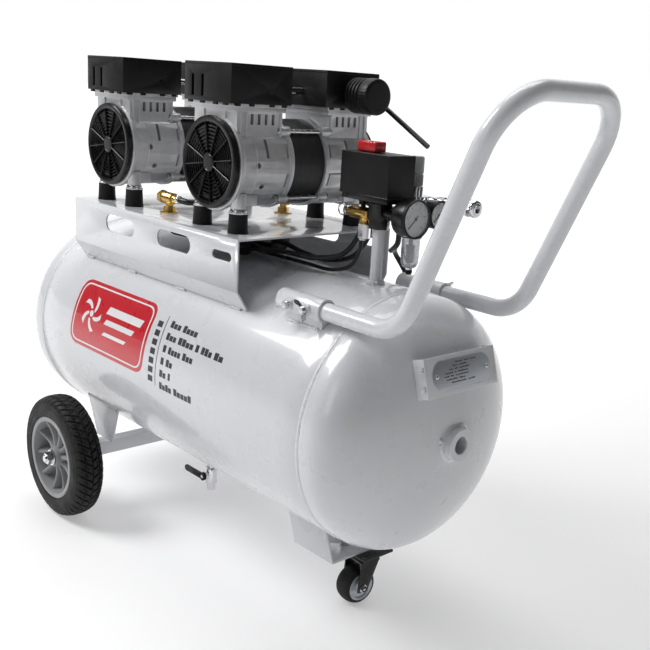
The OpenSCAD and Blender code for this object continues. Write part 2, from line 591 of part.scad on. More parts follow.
tank_shell();
tank_heads();
rating_bracket();
rating_plate();
standpipe();
drain_valve();
drain_lever();
pump_platform();
check_valves();
hoses_and_leads();
run_capacitors();
handle_sockets();
handle();
wing_bolts();
wheel_carrier();
axle_bolts();
tyre(-1);  // tyre_left
rim(-1);  // rim_left
tyre(1);  // tyre_right
rim(1);  // rim_right
front_foot();
castor_plate();
castor_fork();
castor_wheel();
housing_front_a();
housing_rear_a();
housing_front_b();
housing_rear_b();
stators();
bearings();
rotor_a();
rotor_b();
fans_a();
fans_b();
pistons_a();
pistons_b();
valve_plates();
head_covers();
transfer_tubes();
air_filters();
fan_grilles();
tie_rods();
rubber_feet();
manifold();
switch_base();
switch_cover();
switch_knob();
safety_valve();
safety_ring();
gauge_bodies();
tank_needle();
outlet_needle();
regulator_body();
regulator_knob();
filter_bowl();
outlet_coupler();
coupler_sleeve();
mains_lead();
mains_coil();
mains_plug();
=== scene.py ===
import bpy, bmesh, math, json, random
from mathutils import Vector, Matrix
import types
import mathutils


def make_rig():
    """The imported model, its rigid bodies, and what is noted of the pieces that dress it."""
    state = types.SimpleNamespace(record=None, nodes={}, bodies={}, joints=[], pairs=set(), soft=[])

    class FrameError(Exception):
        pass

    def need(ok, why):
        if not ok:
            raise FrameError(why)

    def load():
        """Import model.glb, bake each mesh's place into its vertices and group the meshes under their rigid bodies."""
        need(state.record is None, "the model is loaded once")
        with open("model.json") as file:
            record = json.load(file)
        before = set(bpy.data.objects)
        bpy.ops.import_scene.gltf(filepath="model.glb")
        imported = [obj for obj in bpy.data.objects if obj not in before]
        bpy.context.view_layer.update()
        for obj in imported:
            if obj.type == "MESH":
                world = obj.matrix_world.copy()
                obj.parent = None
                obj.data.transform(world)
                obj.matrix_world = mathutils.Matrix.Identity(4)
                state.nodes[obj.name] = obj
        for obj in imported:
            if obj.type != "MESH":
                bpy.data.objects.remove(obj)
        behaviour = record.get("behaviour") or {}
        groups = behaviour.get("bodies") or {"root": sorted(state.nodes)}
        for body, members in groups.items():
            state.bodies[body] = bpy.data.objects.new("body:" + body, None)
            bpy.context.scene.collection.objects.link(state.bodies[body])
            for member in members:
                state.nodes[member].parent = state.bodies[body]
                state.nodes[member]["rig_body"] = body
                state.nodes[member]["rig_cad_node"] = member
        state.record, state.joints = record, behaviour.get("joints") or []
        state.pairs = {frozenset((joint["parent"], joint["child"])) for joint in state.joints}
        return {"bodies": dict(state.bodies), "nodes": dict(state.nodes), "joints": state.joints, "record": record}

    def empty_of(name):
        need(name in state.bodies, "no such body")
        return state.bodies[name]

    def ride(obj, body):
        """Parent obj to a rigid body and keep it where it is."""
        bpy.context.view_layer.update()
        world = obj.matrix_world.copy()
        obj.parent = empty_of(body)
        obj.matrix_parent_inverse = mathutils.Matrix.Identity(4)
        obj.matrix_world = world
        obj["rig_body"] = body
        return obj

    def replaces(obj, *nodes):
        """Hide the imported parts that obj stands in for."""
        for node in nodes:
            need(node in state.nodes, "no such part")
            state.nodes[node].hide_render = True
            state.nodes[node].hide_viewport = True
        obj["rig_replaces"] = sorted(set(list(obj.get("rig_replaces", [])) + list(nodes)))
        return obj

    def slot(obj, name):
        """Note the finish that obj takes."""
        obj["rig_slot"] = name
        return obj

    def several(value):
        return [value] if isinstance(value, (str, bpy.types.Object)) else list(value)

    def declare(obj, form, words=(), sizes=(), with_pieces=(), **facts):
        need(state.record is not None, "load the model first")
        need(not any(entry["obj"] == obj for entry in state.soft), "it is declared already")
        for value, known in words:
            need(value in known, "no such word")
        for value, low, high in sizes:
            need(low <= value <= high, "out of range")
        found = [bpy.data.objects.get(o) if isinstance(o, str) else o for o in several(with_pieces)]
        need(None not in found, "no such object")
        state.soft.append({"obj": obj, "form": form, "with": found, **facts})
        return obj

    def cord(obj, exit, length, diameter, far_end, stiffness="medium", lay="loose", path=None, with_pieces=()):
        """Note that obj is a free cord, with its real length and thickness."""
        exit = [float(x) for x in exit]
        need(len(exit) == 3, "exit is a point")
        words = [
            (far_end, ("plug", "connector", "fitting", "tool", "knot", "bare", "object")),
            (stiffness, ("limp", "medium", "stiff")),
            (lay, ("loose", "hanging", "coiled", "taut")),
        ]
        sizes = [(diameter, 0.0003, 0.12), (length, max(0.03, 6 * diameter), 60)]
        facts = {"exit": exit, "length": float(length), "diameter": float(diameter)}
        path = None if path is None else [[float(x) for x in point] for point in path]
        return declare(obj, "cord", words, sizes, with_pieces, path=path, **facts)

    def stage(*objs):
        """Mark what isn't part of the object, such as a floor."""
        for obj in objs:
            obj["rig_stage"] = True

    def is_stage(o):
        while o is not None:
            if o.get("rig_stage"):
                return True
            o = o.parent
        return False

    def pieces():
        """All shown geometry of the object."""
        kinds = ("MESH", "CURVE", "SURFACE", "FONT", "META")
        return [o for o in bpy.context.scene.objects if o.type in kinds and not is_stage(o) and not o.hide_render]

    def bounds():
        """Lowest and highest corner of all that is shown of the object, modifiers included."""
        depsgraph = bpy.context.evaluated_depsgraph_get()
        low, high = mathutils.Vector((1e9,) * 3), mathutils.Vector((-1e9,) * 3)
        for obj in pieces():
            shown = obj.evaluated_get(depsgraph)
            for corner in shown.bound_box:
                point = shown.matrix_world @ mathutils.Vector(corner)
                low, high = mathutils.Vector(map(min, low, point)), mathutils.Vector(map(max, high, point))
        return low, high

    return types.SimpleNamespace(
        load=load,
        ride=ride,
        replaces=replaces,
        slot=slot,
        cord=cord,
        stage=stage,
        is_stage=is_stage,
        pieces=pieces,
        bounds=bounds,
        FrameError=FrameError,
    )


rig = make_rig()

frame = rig.load()
CAD_LO, CAD_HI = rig.bounds()
N = frame["nodes"]
MM = 0.001
rnd = random.Random(11)
scene = bpy.context.scene

# ------------------------------------------------------------------ camera
cam_data = bpy.data.cameras.new("camera")
cam = bpy.data.objects.new("camera", cam_data)
scene.collection.objects.link(cam)
C = Vector((1.15432, -0.92615, 0.75899))
r = Vector((0.6863, 0.7243, 0.0660)).normalized()
f = Vector((-0.6900, 0.6771, -0.2557)).normalized()
u = r.cross(f).normalized()
r = f.cross(u).normalized()
m = Matrix(((r.x, u.x, -f.x, C.x), (r.y, u.y, -f.y, C.y), (r.z, u.z, -f.z, C.z), (0, 0, 0, 1)))
cam.matrix_world = m
cam_data.sensor_width = 36
cam_data.lens = 939.3 * 36 / 650
cam_data.shift_x = -(360.5 - 325) / 650
cam_data.shift_y = (334.0 - 325) / 650
cam_data.clip_start = 0.02
cam_data.clip_end = 60
scene.camera = cam
scene.view_settings.view_transform = "Standard"


# ------------------------------------------------------------------ materials
def mat(name, base, metallic=0.0, rough=0.5, coat=0.0, coat_rough=0.08, bumps=(), var=0.0, var_scale=14.0,
        rough_var=0.0, rough_scale=40.0, spec=0.5, stretch=None, transmission=0.0, ior=1.5, dirt=0.0, alpha=1.0):
    """Procedural finish: colour drift, roughness drift and stacked bumps, all in object space (metres)."""
    mt = bpy.data.materials.new(name)
    mt.use_nodes = True
    nt = mt.node_tree
    nd, lk = nt.nodes, nt.links
    b = nd["Principled BSDF"]
    b.inputs["Metallic"].default_value = metallic
    b.inputs["Roughness"].default_value = rough
    b.inputs["Coat Weight"].default_value = coat
    b.inputs["Coat Roughness"].default_value = coat_rough
    b.inputs["Specular IOR Level"].default_value = spec
    b.inputs["Transmission Weight"].default_value = transmission
    b.inputs["IOR"].default_value = ior
    b.inputs["Alpha"].default_value = alpha
    b.inputs["Base Color"].default_value = (*base, 1)
    tc = nd.new("ShaderNodeTexCoord")
    src = tc.outputs["Object"]
    if stretch:
        mp = nd.new("ShaderNodeMapping")
        mp.inputs["Scale"].default_value = stretch
        lk.new(src, mp.inputs["Vector"])
        src = mp.outputs["Vector"]
    if var or dirt:
        n = nd.new("ShaderNodeTexNoise")
        n.inputs["Scale"].default_value = var_scale
        n.inputs["Detail"].default_value = 6
        n.inputs["Roughness"].default_value = 0.6
        lk.new(src, n.inputs["Vector"])
        cr = nd.new("ShaderNodeValToRGB")
        lo = [max(0, c * (1 - var)) for c in base]
        hi = [min(1, c * (1 + var)) for c in base]
        cr.color_ramp.elements[0].position = 0.3
        cr.color_ramp.elements[1].position = 0.7
        cr.color_ramp.elements[0].color = (*lo, 1)
        cr.color_ramp.elements[1].color = (*hi, 1)
        lk.new(n.outputs["Fac"], cr.inputs["Fac"])
        out = cr.outputs["Color"]
        if dirt:
            n2 = nd.new("ShaderNodeTexNoise")
            n2.inputs["Scale"].default_value = 320
            n2.inputs["Detail"].default_value = 8
            lk.new(tc.outputs["Object"], n2.inputs["Vector"])
            c2 = nd.new("ShaderNodeValToRGB")
            c2.color_ramp.elements[0].position = 0.64
            c2.color_ramp.elements[1].position = 0.74
            c2.color_ramp.elements[0].color = (0, 0, 0, 1)
            c2.color_ramp.elements[1].color = (dirt, dirt, dirt, 1)
            lk.new(n2.outputs["Fac"], c2.inputs["Fac"])
            mx = nd.new("ShaderNodeMix")
            mx.data_type = "RGBA"
            mx.inputs["B"].default_value = (base[0] * 0.45, base[1] * 0.44, base[2] * 0.42, 1)
            lk.new(c2.outputs["Color"], mx.inputs["Factor"])
            lk.new(out, mx.inputs["A"])
            out = mx.outputs["Result"]
        lk.new(out, b.inputs["Base Color"])
    if rough_var:
        n = nd.new("ShaderNodeTexNoise")
        n.inputs["Scale"].default_value = rough_scale
        n.inputs["Detail"].default_value = 5
        lk.new(src, n.inputs["Vector"])
        mr = nd.new("ShaderNodeMapRange")
        mr.inputs["From Min"].default_value = 0.3
        mr.inputs["From Max"].default_value = 0.7
        mr.inputs["To Min"].default_value = max(0.02, rough - rough_var)
        mr.inputs["To Max"].default_value = min(1, rough + rough_var)
        lk.new(n.outputs["Fac"], mr.inputs["Value"])
        lk.new(mr.outputs["Result"], b.inputs["Roughness"])
    last = None
    for kind, scale, dist in bumps:
        if kind == "noise":
            n = nd.new("ShaderNodeTexNoise")
            n.inputs["Detail"].default_value = 4
            o = "Fac"
        else:
            n = nd.new("ShaderNodeTexVoronoi")
            o = "Distance"
        n.inputs["Scale"].default_value = scale
        lk.new(src, n.inputs["Vector"])
        bp = nd.new("ShaderNodeBump")
        bp.inputs["Strength"].default_value = 1.0
        bp.inputs["Distance"].default_value = dist
        lk.new(n.outputs[o], bp.inputs["Height"])
        if last:
            lk.new(last.outputs["Normal"], bp.inputs["Normal"])
        last = bp
    if last:
        lk.new(last.outputs["Normal"], b.inputs["Normal"])
    return mt


WHITE = mat("white_powder_coat", (0.68, 0.69, 0.715), rough=0.28, coat=0.6, coat_rough=0.07, var=0.012, var_scale=5,
            rough_var=0.02, rough_scale=22, bumps=[("noise", 420, 0.00005)])
WELD = mat("painted_weld", (0.68, 0.69, 0.70), rough=0.38, coat=0.3, var=0.06, var_scale=160,
           bumps=[("noise", 420, 0.0006), ("voronoi", 260, 0.0005)], rough_var=0.1)
CAST = mat("die_cast_aluminium", (0.60, 0.605, 0.62), metallic=0.6, rough=0.42, var=0.10, var_scale=38, rough_var=0.10,
           rough_scale=90, bumps=[("noise", 1500, 0.00012), ("noise", 260, 0.00016)], dirt=0.22)
MACHINED = mat("machined_aluminium", (0.72, 0.73, 0.74), metallic=1.0, rough=0.26, var=0.06, var_scale=60, rough_var=0.08,
               stretch=(1, 14, 1), bumps=[("noise", 900, 0.00005)])
BLACK = mat("black_moulding", (0.0075, 0.0072, 0.007), rough=0.42, spec=0.25, var=0.25, var_scale=24, rough_var=0.09,
            rough_scale=35, bumps=[("voronoi", 1500, 0.00006), ("noise", 90, 0.00012)])
GRILLE = mat("grille_moulding", (0.0065, 0.0063, 0.0062), rough=0.28, spec=0.35, var=0.2, var_scale=60, rough_var=0.08,
             bumps=[("noise", 900, 0.00005)])
ENAMEL = mat("black_enamel", (0.008, 0.008, 0.008), rough=0.28, spec=0.35, coat=0.1, var=0.25, var_scale=40, rough_var=0.08,
             bumps=[("noise", 500, 0.00010)])
LAMINATED = mat("laminated_core", (0.020, 0.020, 0.021), rough=0.42, metallic=0.3, var=0.35, var_scale=30, rough_var=0.1,
                stretch=(1, 60, 1), bumps=[("noise", 26, 0.0005)])
COPPER = mat("enamelled_copper", (0.45, 0.16, 0.05), metallic=0.8, rough=0.35, var=0.3, var_scale=120, bumps=[("noise", 700, 0.0004)])
STEEL = mat("zinc_steel", (0.60, 0.61, 0.62), metallic=1.0, rough=0.27, var=0.10, var_scale=90, rough_var=0.10,
            rough_scale=150, bumps=[("noise", 1100, 0.00005)])
CHROME = mat("bright_plate", (0.74, 0.74, 0.76), metallic=1.0, rough=0.11, var=0.05, var_scale=60, rough_var=0.05,
             bumps=[("noise", 420, 0.00004)])
BRASS = mat("machined_brass", (0.66, 0.43, 0.13), metallic=1.0, rough=0.24, var=0.16, var_scale=70, rough_var=0.10,
            bumps=[("noise", 800, 0.00008)])
RUBBER = mat("black_rubber", (0.008, 0.0078, 0.0075), rough=0.52, spec=0.25, var=0.3, var_scale=45, rough_var=0.1,
             bumps=[("noise", 1200, 0.00008)])
TYRE = mat("tyre_rubber", (0.0095, 0.009, 0.0082), rough=0.58, spec=0.3, var=0.35, var_scale=40, rough_var=0.12,
           bumps=[("noise", 1100, 0.00014), ("noise", 180, 0.0002)], dirt=0.3)
HOSE = mat("hose_rubber", (0.008, 0.008, 0.008), rough=0.32, spec=0.4, var=0.2, var_scale=80, rough_var=0.08,
           bumps=[("noise", 900, 0.00006)])
GREY = mat("grey_moulding", (0.30, 0.305, 0.31), rough=0.42, var=0.07, var_scale=30, rough_var=0.08,
           bumps=[("noise", 1000, 0.00007)], dirt=0.12)
RED = mat("red_moulding", (0.55, 0.012, 0.018), rough=0.26, coat=0.3, var=0.1, var_scale=60, rough_var=0.05,
          bumps=[("noise", 500, 0.00004)])
LABEL_RED = mat("label_red", (0.56, 0.010, 0.022), rough=0.30, coat=0.5, coat_rough=0.06, var=0.04, var_scale=20,
                rough_var=0.04, bumps=[("noise", 260, 0.00006)])
LABEL_WHITE = mat("label_white", (0.80, 0.80, 0.81), rough=0.30, coat=0.4, var=0.02, var_scale=30, rough_var=0.04,
                  bumps=[("noise", 260, 0.00006)])
INK = mat("label_ink", (0.030, 0.032, 0.036), rough=0.42, var=0.15, var_scale=90, rough_var=0.06, bumps=[("noise", 700, 0.00003)])
PLATE = mat("etched_plate", (0.50, 0.53, 0.57), metallic=0.7, rough=0.40, var=0.08, var_scale=50, rough_var=0.08,
            stretch=(1, 1, 26), bumps=[("noise", 300, 0.00004)])
DIAL = mat("dial_paper", (0.78, 0.79, 0.81), rough=0.5, var=0.02, var_scale=80, bumps=[("noise", 900, 0.00002)])
GLASS = mat("gauge_glass", (1, 1, 1), rough=0.03, transmission=1.0, ior=1.45, rough_var=0.02)
BOWL = mat("clear_bowl", (0.86, 0.88, 0.90), rough=0.12, transmission=0.75, ior=1.49, var=0.03, var_scale=60, rough_var=0.05)


# ------------------------------------------------------------------ building helpers (millimetres in, metres out)
def finish_mesh(name, me, mt, body, slot=None, angle=32, bevel=0.0, segs=2, limit=32):
    me.materials.clear()
    me.materials.append(mt)
    me.shade_smooth()
    ob = bpy.data.objects.new(name, me)
    scene.collection.objects.link(ob)
    if bevel:
        bv = ob.modifiers.new("edges", "BEVEL")
        bv.width = bevel * MM
        bv.segments = segs
        bv.limit_method = "ANGLE"
        bv.angle_limit = math.radians(limit)
        bv.use_clamp_overlap = True
        bv.harden_normals = True
    else:
        me.set_sharp_from_angle(angle=math.radians(angle))
    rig.ride(ob, body)
    if slot:
        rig.slot(ob, slot)
    return ob


def from_lists(name, verts, faces, mt, body, slot=None, **k):
    me = bpy.data.meshes.new(name)
    me.from_pydata([tuple(c * MM for c in v) for v in verts], [], faces)
    bm = bmesh.new()
    bm.from_mesh(me)
    bmesh.ops.remove_doubles(bm, verts=bm.verts, dist=2e-6)
    bmesh.ops.dissolve_degenerate(bm, dist=1e-7, edges=bm.edges)
    bmesh.ops.recalc_face_normals(bm, faces=bm.faces)
    bm.to_mesh(me)
    bm.free()
    return finish_mesh(name, me, mt, body, slot, **k)


class Build:
    """Collects many closed shapes into one piece."""

    def __init__(self):
        self.v, self.f = [], []

    def add(self, verts, faces):
        n = len(self.v)
        self.v += [tuple(v) for v in verts]
        self.f += [tuple(i + n for i in fc) for fc in faces]
        return self

    def box(self, x0, x1, y0, y1, z0, z1, M=None, bev=0.0):
        bm = bmesh.new()
        bmesh.ops.create_cube(bm, size=1)
        bmesh.ops.scale(bm, vec=(x1 - x0, y1 - y0, z1 - z0), verts=bm.verts)
        bmesh.ops.translate(bm, vec=((x0 + x1) / 2, (y0 + y1) / 2, (z0 + z1) / 2), verts=bm.verts)
        if bev:
            bmesh.ops.bevel(bm, geom=list(bm.edges), offset=bev, segments=3, profile=0.5, affect="EDGES", clamp_overlap=True)
        return self._take(bm, M)

    def _take(self, bm, M=None):
        if M is not None:
            bmesh.ops.transform(bm, matrix=M, verts=bm.verts)
        bm.verts.index_update()
        self.add([v.co[:] for v in bm.verts], [[v.index for v in fc.verts] for fc in bm.faces])
        bm.free()
        return self

    def lathe(self, prof, M, seg=48, closed=True, fn=None):
        """prof is [(radius, height)] round; the axis is M's local Z."""
        n, k = len(prof), seg
        vs = []
        for j in range(k):
            a = 2 * math.pi * j / k
            for i, (rr, h) in enumerate(prof):
                if fn:
                    rr, h = fn(rr, h, a, i)
                vs.append((M @ Vector((rr * math.cos(a), rr * math.sin(a), h)))[:])
        fs = []
        for j in range(k):
            j2 = (j + 1) % k
            for i in range(n if closed else n - 1):
                i2 = (i + 1) % n
                if prof[i][0] < 1e-6 and prof[i2][0] < 1e-6:
                    continue
                q = [j * n + i, j2 * n + i, j2 * n + i2, j * n + i2]
                if prof[i][0] < 1e-6:
                    q = [q[0], q[2], q[3]]
                elif prof[i2][0] < 1e-6:
                    q = [q[0], q[1], q[2]]
                fs.append(q)
        return self.add(vs, fs)

    def tube(self, pts, rad, n=16, caps=True, up=(0, 0, 1)):
        pts = [Vector(p) for p in pts]
        m_ = len(pts)
        tg = [(pts[min(i + 1, m_ - 1)] - pts[max(i - 1, 0)]).normalized() for i in range(m_)]
        s = Vector(up)
        if abs(s.dot(tg[0])) > 0.95:
            s = Vector((1, 0, 0))
        vs = []
        for i in range(m_):
            s = (s - tg[i] * s.dot(tg[i])).normalized()
            w = tg[i].cross(s)
            rr = rad[i] if isinstance(rad, (list, tuple)) else rad
            for j in range(n):
                a = 2 * math.pi * j / n
                vs.append((pts[i] + rr * (math.cos(a) * s + math.sin(a) * w))[:])
        fs = [[i * n + j, (i + 1) * n + j, (i + 1) * n + (j + 1) % n, i * n + (j + 1) % n] for i in range(m_ - 1) for j in range(n)]
        if caps:
            fs += [list(range(n))[::-1], [(m_ - 1) * n + j for j in range(n)]]
        return self.add(vs, fs)

    def hexagon(self, M, af, h, chamfer=0.9):
        """Hex nut or bolt head: af across flats, standing on M's origin along local Z, crowned at the top."""
        rr = af / math.sqrt(3)
        vs, fs = [], []
        for z, k in ((0, 1.0), (h - chamfer, 1.0), (h, 0.88)):
            for j in range(6):
                a = math.pi / 3 * j
                vs.append((M @ Vector((rr * k * math.cos(a), rr * k * math.sin(a), z)))[:])
        for i in range(2):
            for j in range(6):
                fs.append([i * 6 + j, i * 6 + (j + 1) % 6, (i + 1) * 6 + (j + 1) % 6, (i + 1) * 6 + j])
        fs += [list(range(6))[::-1], [12 + j for j in range(6)]]
        return self.add(vs, fs)

    def ball(self, c, rr, squash=(1, 1, 1), seg=14):
        bm = bmesh.new()
        bmesh.ops.create_uvsphere(bm, u_segments=seg, v_segments=seg // 2 + 2, radius=rr)
        bmesh.ops.scale(bm, vec=squash, verts=bm.verts)
        bmesh.ops.translate(bm, vec=c, verts=bm.verts)
        return self._take(bm)

    def make(self, name, mt, body, slot=None, **k):
        return from_lists(name, self.v, self.f, mt, body, slot, **k)


def ax(axis, x=0, y=0, z=0):
    """Matrix whose local Z points along the named axis, placed at x, y, z."""
    T = Matrix.Translation((x, y, z))
    R_ = {"+x": Matrix.Rotation(math.pi / 2, 4, "Y"), "-x": Matrix.Rotation(-math.pi / 2, 4, "Y"),
          "+y": Matrix.Rotation(-math.pi / 2, 4, "X"), "-y": Matrix.Rotation(math.pi / 2, 4, "X"),
          "+z": Matrix.Identity(4), "-z": Matrix.Rotation(math.pi, 4, "X")}[axis]
    return T @ R_


def catmull(p, k):
    p = [Vector(q) for q in p]
    out = []
    for i in range(len(p) - 1):
        a, b, c, d = p[max(i - 1, 0)], p[i], p[i + 1], p[min(i + 2, len(p) - 1)]
        for j in range(k):
            t = j / k
            out.append(0.5 * ((2 * b) + (c - a) * t + (2 * a - 5 * b + 4 * c - d) * t * t + (3 * b - a - 3 * c + d) * t ** 3))
    return out + [p[-1]]


def arc(cx_, cy_, rr, a0, a1, n):
    return [(cx_ + rr * math.cos(math.radians(a0 + (a1 - a0) * i / n)), cy_ + rr * math.sin(math.radians(a0 + (a1 - a0) * i / n))) for i in range(n + 1)]


def refine(node, mt, bevel=0.6, segs=2, limit=30, slot=None):
    """The CAD shape as its own piece: planar faces joined, edges rounded and shaded smoothly."""
    src = N[node]
    bm = bmesh.new()
    bm.from_mesh(src.data)
    bmesh.ops.remove_doubles(bm, verts=bm.verts, dist=3e-6)
    bmesh.ops.dissolve_degenerate(bm, dist=1e-6, edges=bm.edges)
    bmesh.ops.dissolve_limit(bm, angle_limit=math.radians(0.6), verts=bm.verts, edges=bm.edges, use_dissolve_boundaries=False)
    bmesh.ops.recalc_face_normals(bm, faces=bm.faces)
    me = bpy.data.meshes.new(node + "_fine")
    bm.to_mesh(me)
    bm.free()
    ob = finish_mesh(node + "_fine", me, mt, src["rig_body"], None, bevel=bevel, segs=segs, limit=limit)
    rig.replaces(ob, node)
    slot = slot or next(s["material_slot"] for s in frame["record"]["subparts"] if s["node"] == node)
    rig.slot(ob, slot)
    return ob


# ------------------------------------------------------------------ mains lead first: length, route and coil
ROUTE = [(258, 14, 582), (257, 16, 566), (250, 22, 548), (226, 38, 534), (198, 64, 526), (170, 100, 522), (150, 124, 508),
         (158, 137, 484), (172, 148, 452), (172, 164, 420), (160, 180, 376), (140, 192, 330), (124, 196, 280), (112, 197, 220),
         (104, 198, 160), (99, 199, 100), (97, 202, 56), (98, 210, 22), (101, 228, 6), (103, 248, 4.2), (104, 268, 4.2), (104, 290, 4.2)]
line = catmull(ROUTE, 4)[:-1]


def ease(t):
    t = max(0, min(1, t))
    return t * t * (3 - 2 * t)


for i in range(0, 1170 + 1, 10):
    rr = 48.2 - 8.3 * ease((i - 290) / 70) + 8.3 * ease((i - 1010) / 70)
    zz = 4.2 + 8.2 * ease((i - 640) / 80)
    line.append(Vector((56 + rr * math.cos(math.radians(i)), 290 + rr * math.sin(math.radians(i)), zz)))
line += [Vector((42, 338.1, 12.3)), Vector((28, 338, 12.1)), Vector((14, 338, 12))]
cu = bpy.data.curves.new("mains_cable", "CURVE")
cu.dimensions = "3D"
sp = cu.splines.new("POLY")
sp.points.add(len(line) - 1)
for q, p in zip(sp.points, line):
    q.co = (p.x * MM, p.y * MM, p.z * MM, 1)
cu.bevel_depth = 4.0 * MM
cu.bevel_resolution = 4
cu.use_fill_caps = True
cable = bpy.data.objects.new("mains_cable", cu)
scene.collection.objects.link(cable)
cu.materials.append(HOSE)
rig.ride(cable, "frame")
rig.replaces(cable, "mains_lead", "mains_coil")
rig.slot(cable, "hose_rubber")
CABLE_LEN = sum((b - a).length for a, b in zip(line, line[1:])) * MM
plug = Build()
plug.box(-39, -5, 325, 351, 0.15, 23.9, bev=5)
plug.lathe([(0, 0), (5.6, 0), (5.6, 2), (4.9, 3)] + [(5.2 if i % 2 else 4.5, 4 + i * 1.7) for i in range(8)] + [(4.4, 18.8), (0, 18.8)], ax("+x", -5.2, 338, 12), 24)
plug = plug.make("mains_plug_body", BLACK, "frame", "plug_black")
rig.replaces(plug, "mains_plug")
pins = Build()
for y in (-9.5, 9.5):
    pins.lathe([(0, 0), (2.4, 0), (2.4, 18.4), (1.6, 19.8), (0, 19.8)], ax("-x", -39, 338 + y, 12), 20)
pins = pins.make("mains_plug_pins", CHROME, "frame", "steel")
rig.cord(cable, exit=(0.258, 0.014, 0.582), length=round(CABLE_LEN, 3), diameter=0.008, far_end="plug", stiffness="medium",
        lay="coiled", with_pieces=[plug, pins])

# ------------------------------------------------------------------ stage and light
fl = bpy.data.meshes.new("floor")
fl.from_pydata([(-40, -40, 0), (40, -40, 0), (40, 40, 0), (-40, 40, 0)], [], [(0, 1, 2, 3)])
floor = bpy.data.objects.new("floor", fl)
scene.collection.objects.link(floor)
fm = mat("floor_pale", (0.70, 0.70, 0.705), rough=0.6, spec=0.1, var=0.008, var_scale=3)
# painted light: the floor glows by its own emission, weak near the camera and strong towards the far side behind the
# object, a painted bright backdrop rather than lamp light
fn_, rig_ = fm.node_tree.nodes, fm.node_tree.links
ftc = fn_.new("ShaderNodeTexCoord")
fln = fn_.new("ShaderNodeVectorMath")
fln.operation = "DOT_PRODUCT"
fln.inputs[1].default_value = (-0.72, 0.69, 0.0)
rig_.new(ftc.outputs["Object"], fln.inputs[0])
# painted light: emission strength of the floor's glow, from 0.34 to 0.92 along the view direction
fmr = fn_.new("ShaderNodeMapRange")
fmr.interpolation_type = "SMOOTHSTEP"
fmr.inputs["From Min"].default_value = 0.1
fmr.inputs["From Max"].default_value = 3.2
fmr.inputs["To Min"].default_value = 0.34
fmr.inputs["To Max"].default_value = 0.92
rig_.new(fln.outputs["Value"], fmr.inputs["Value"])
fn_["Principled BSDF"].inputs["Emission Color"].default_value = (1, 1, 1, 1)
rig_.new(fmr.outputs["Result"], fn_["Principled BSDF"].inputs["Emission Strength"])
fl.materials.append(fm)
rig.stage(floor)
world = bpy.data.worlds.new("studio")
scene.world = world
world.use_nodes = True
wn, wl = world.node_tree.nodes, world.node_tree.links
bg = wn["Background"]
tc = wn.new("ShaderNodeTexCoord")
dp = wn.new("ShaderNodeVectorMath")
dp.operation = "DOT_PRODUCT"
dp.inputs[1].default_value = (-0.72, 0.69, 0.0)
wl.new(tc.outputs["Generated"], dp.inputs[0])
mr = wn.new("ShaderNodeMapRange")
mr.interpolation_type = "SMOOTHSTEP"
mr.inputs["From Min"].default_value = 0.30
mr.inputs["From Max"].default_value = 0.82
mr.inputs["To Min"].default_value = 0.07
mr.inputs["To Max"].default_value = 1.0
wl.new(dp.outputs["Value"], mr.inputs["Value"])
wl.new(mr.outputs["Result"], bg.inputs["Color"])
bg.inputs["Strength"].default_value = 1.0


def area(name, loc, to, size, power, size_y=None):
    d = bpy.data.lights.new(name, "AREA")
    d.shape = "RECTANGLE"
    d.size = size
    d.size_y = size_y or size
    d.energy = power
    o = bpy.data.objects.new(name, d)
    scene.collection.objects.link(o)
    o.location = loc
    o.rotation_mode = "QUATERNION"
    o.rotation_quaternion = (Vector(to) - Vector(loc)).to_track_quat("-Z", "Y")
    return o


area("key", (-1.7, -1.7, 2.8), (0, 0, 0.35), 1.5, 86)
area("top", (-0.3, 0.5, 2.9), (0, 0, 0.4), 2.2, 30, 1.2)
area("front", (0.6, -3.1, 1.6), (0.1, 0, 0.45), 0.8, 7, 1.6)

# ------------------------------------------------------------------ tank: one smooth double-walled turning
TX, TZ, TR = (-425, 293), 304, 185


def dome_pts(rad, depth, r_from, r_to, n):
    """[(radius, distance past the seam)] along an elliptical dome, between two radii."""
    a0, a1 = math.acos(min(1, r_from / rad)), math.acos(min(1, r_to / rad))
    return [(rad * math.cos(a0 + (a1 - a0) * i / n), 20 + depth * math.sin(a0 + (a1 - a0) * i / n)) for i in range(n + 1)]


outer = [(rr, TX[1] + d) for rr, d in dome_pts(TR, 92.5, 12.05, TR, 44)] + [(TR, TX[1] + 12), (TR, TX[1] + 4.5)]
outer += [(TR - 0.5, TX[1] + 3.6), (TR - 0.5, TX[1] + 2.6), (TR, TX[1] + 1.5)]
outer += [(TR, TX[1] - 40 - 61 * i) for i in range(11)]
outer += [(TR, TX[0] - 1.5), (TR - 0.5, TX[0] - 2.6), (TR - 0.5, TX[0] - 3.6), (TR, TX[0] - 4.5), (TR, TX[0] - 12)]
outer += [(rr, TX[0] - d) for rr, d in dome_pts(TR, 92.5, TR, 0, 44)]
inner = [(rr, TX[0] - d) for rr, d in dome_pts(TR - 3, 89.5, 0, TR - 3, 20)] + [(rr, TX[1] + d) for rr, d in dome_pts(TR - 3, 89.5, TR - 3, 12.05, 20)]
tank = Build().lathe(outer + inner, ax("+x", 0, 0, TZ), 168).make("tank_skin", WHITE, "frame", "white_paint", angle=60)
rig.replaces(tank, "tank_shell", "tank_heads")


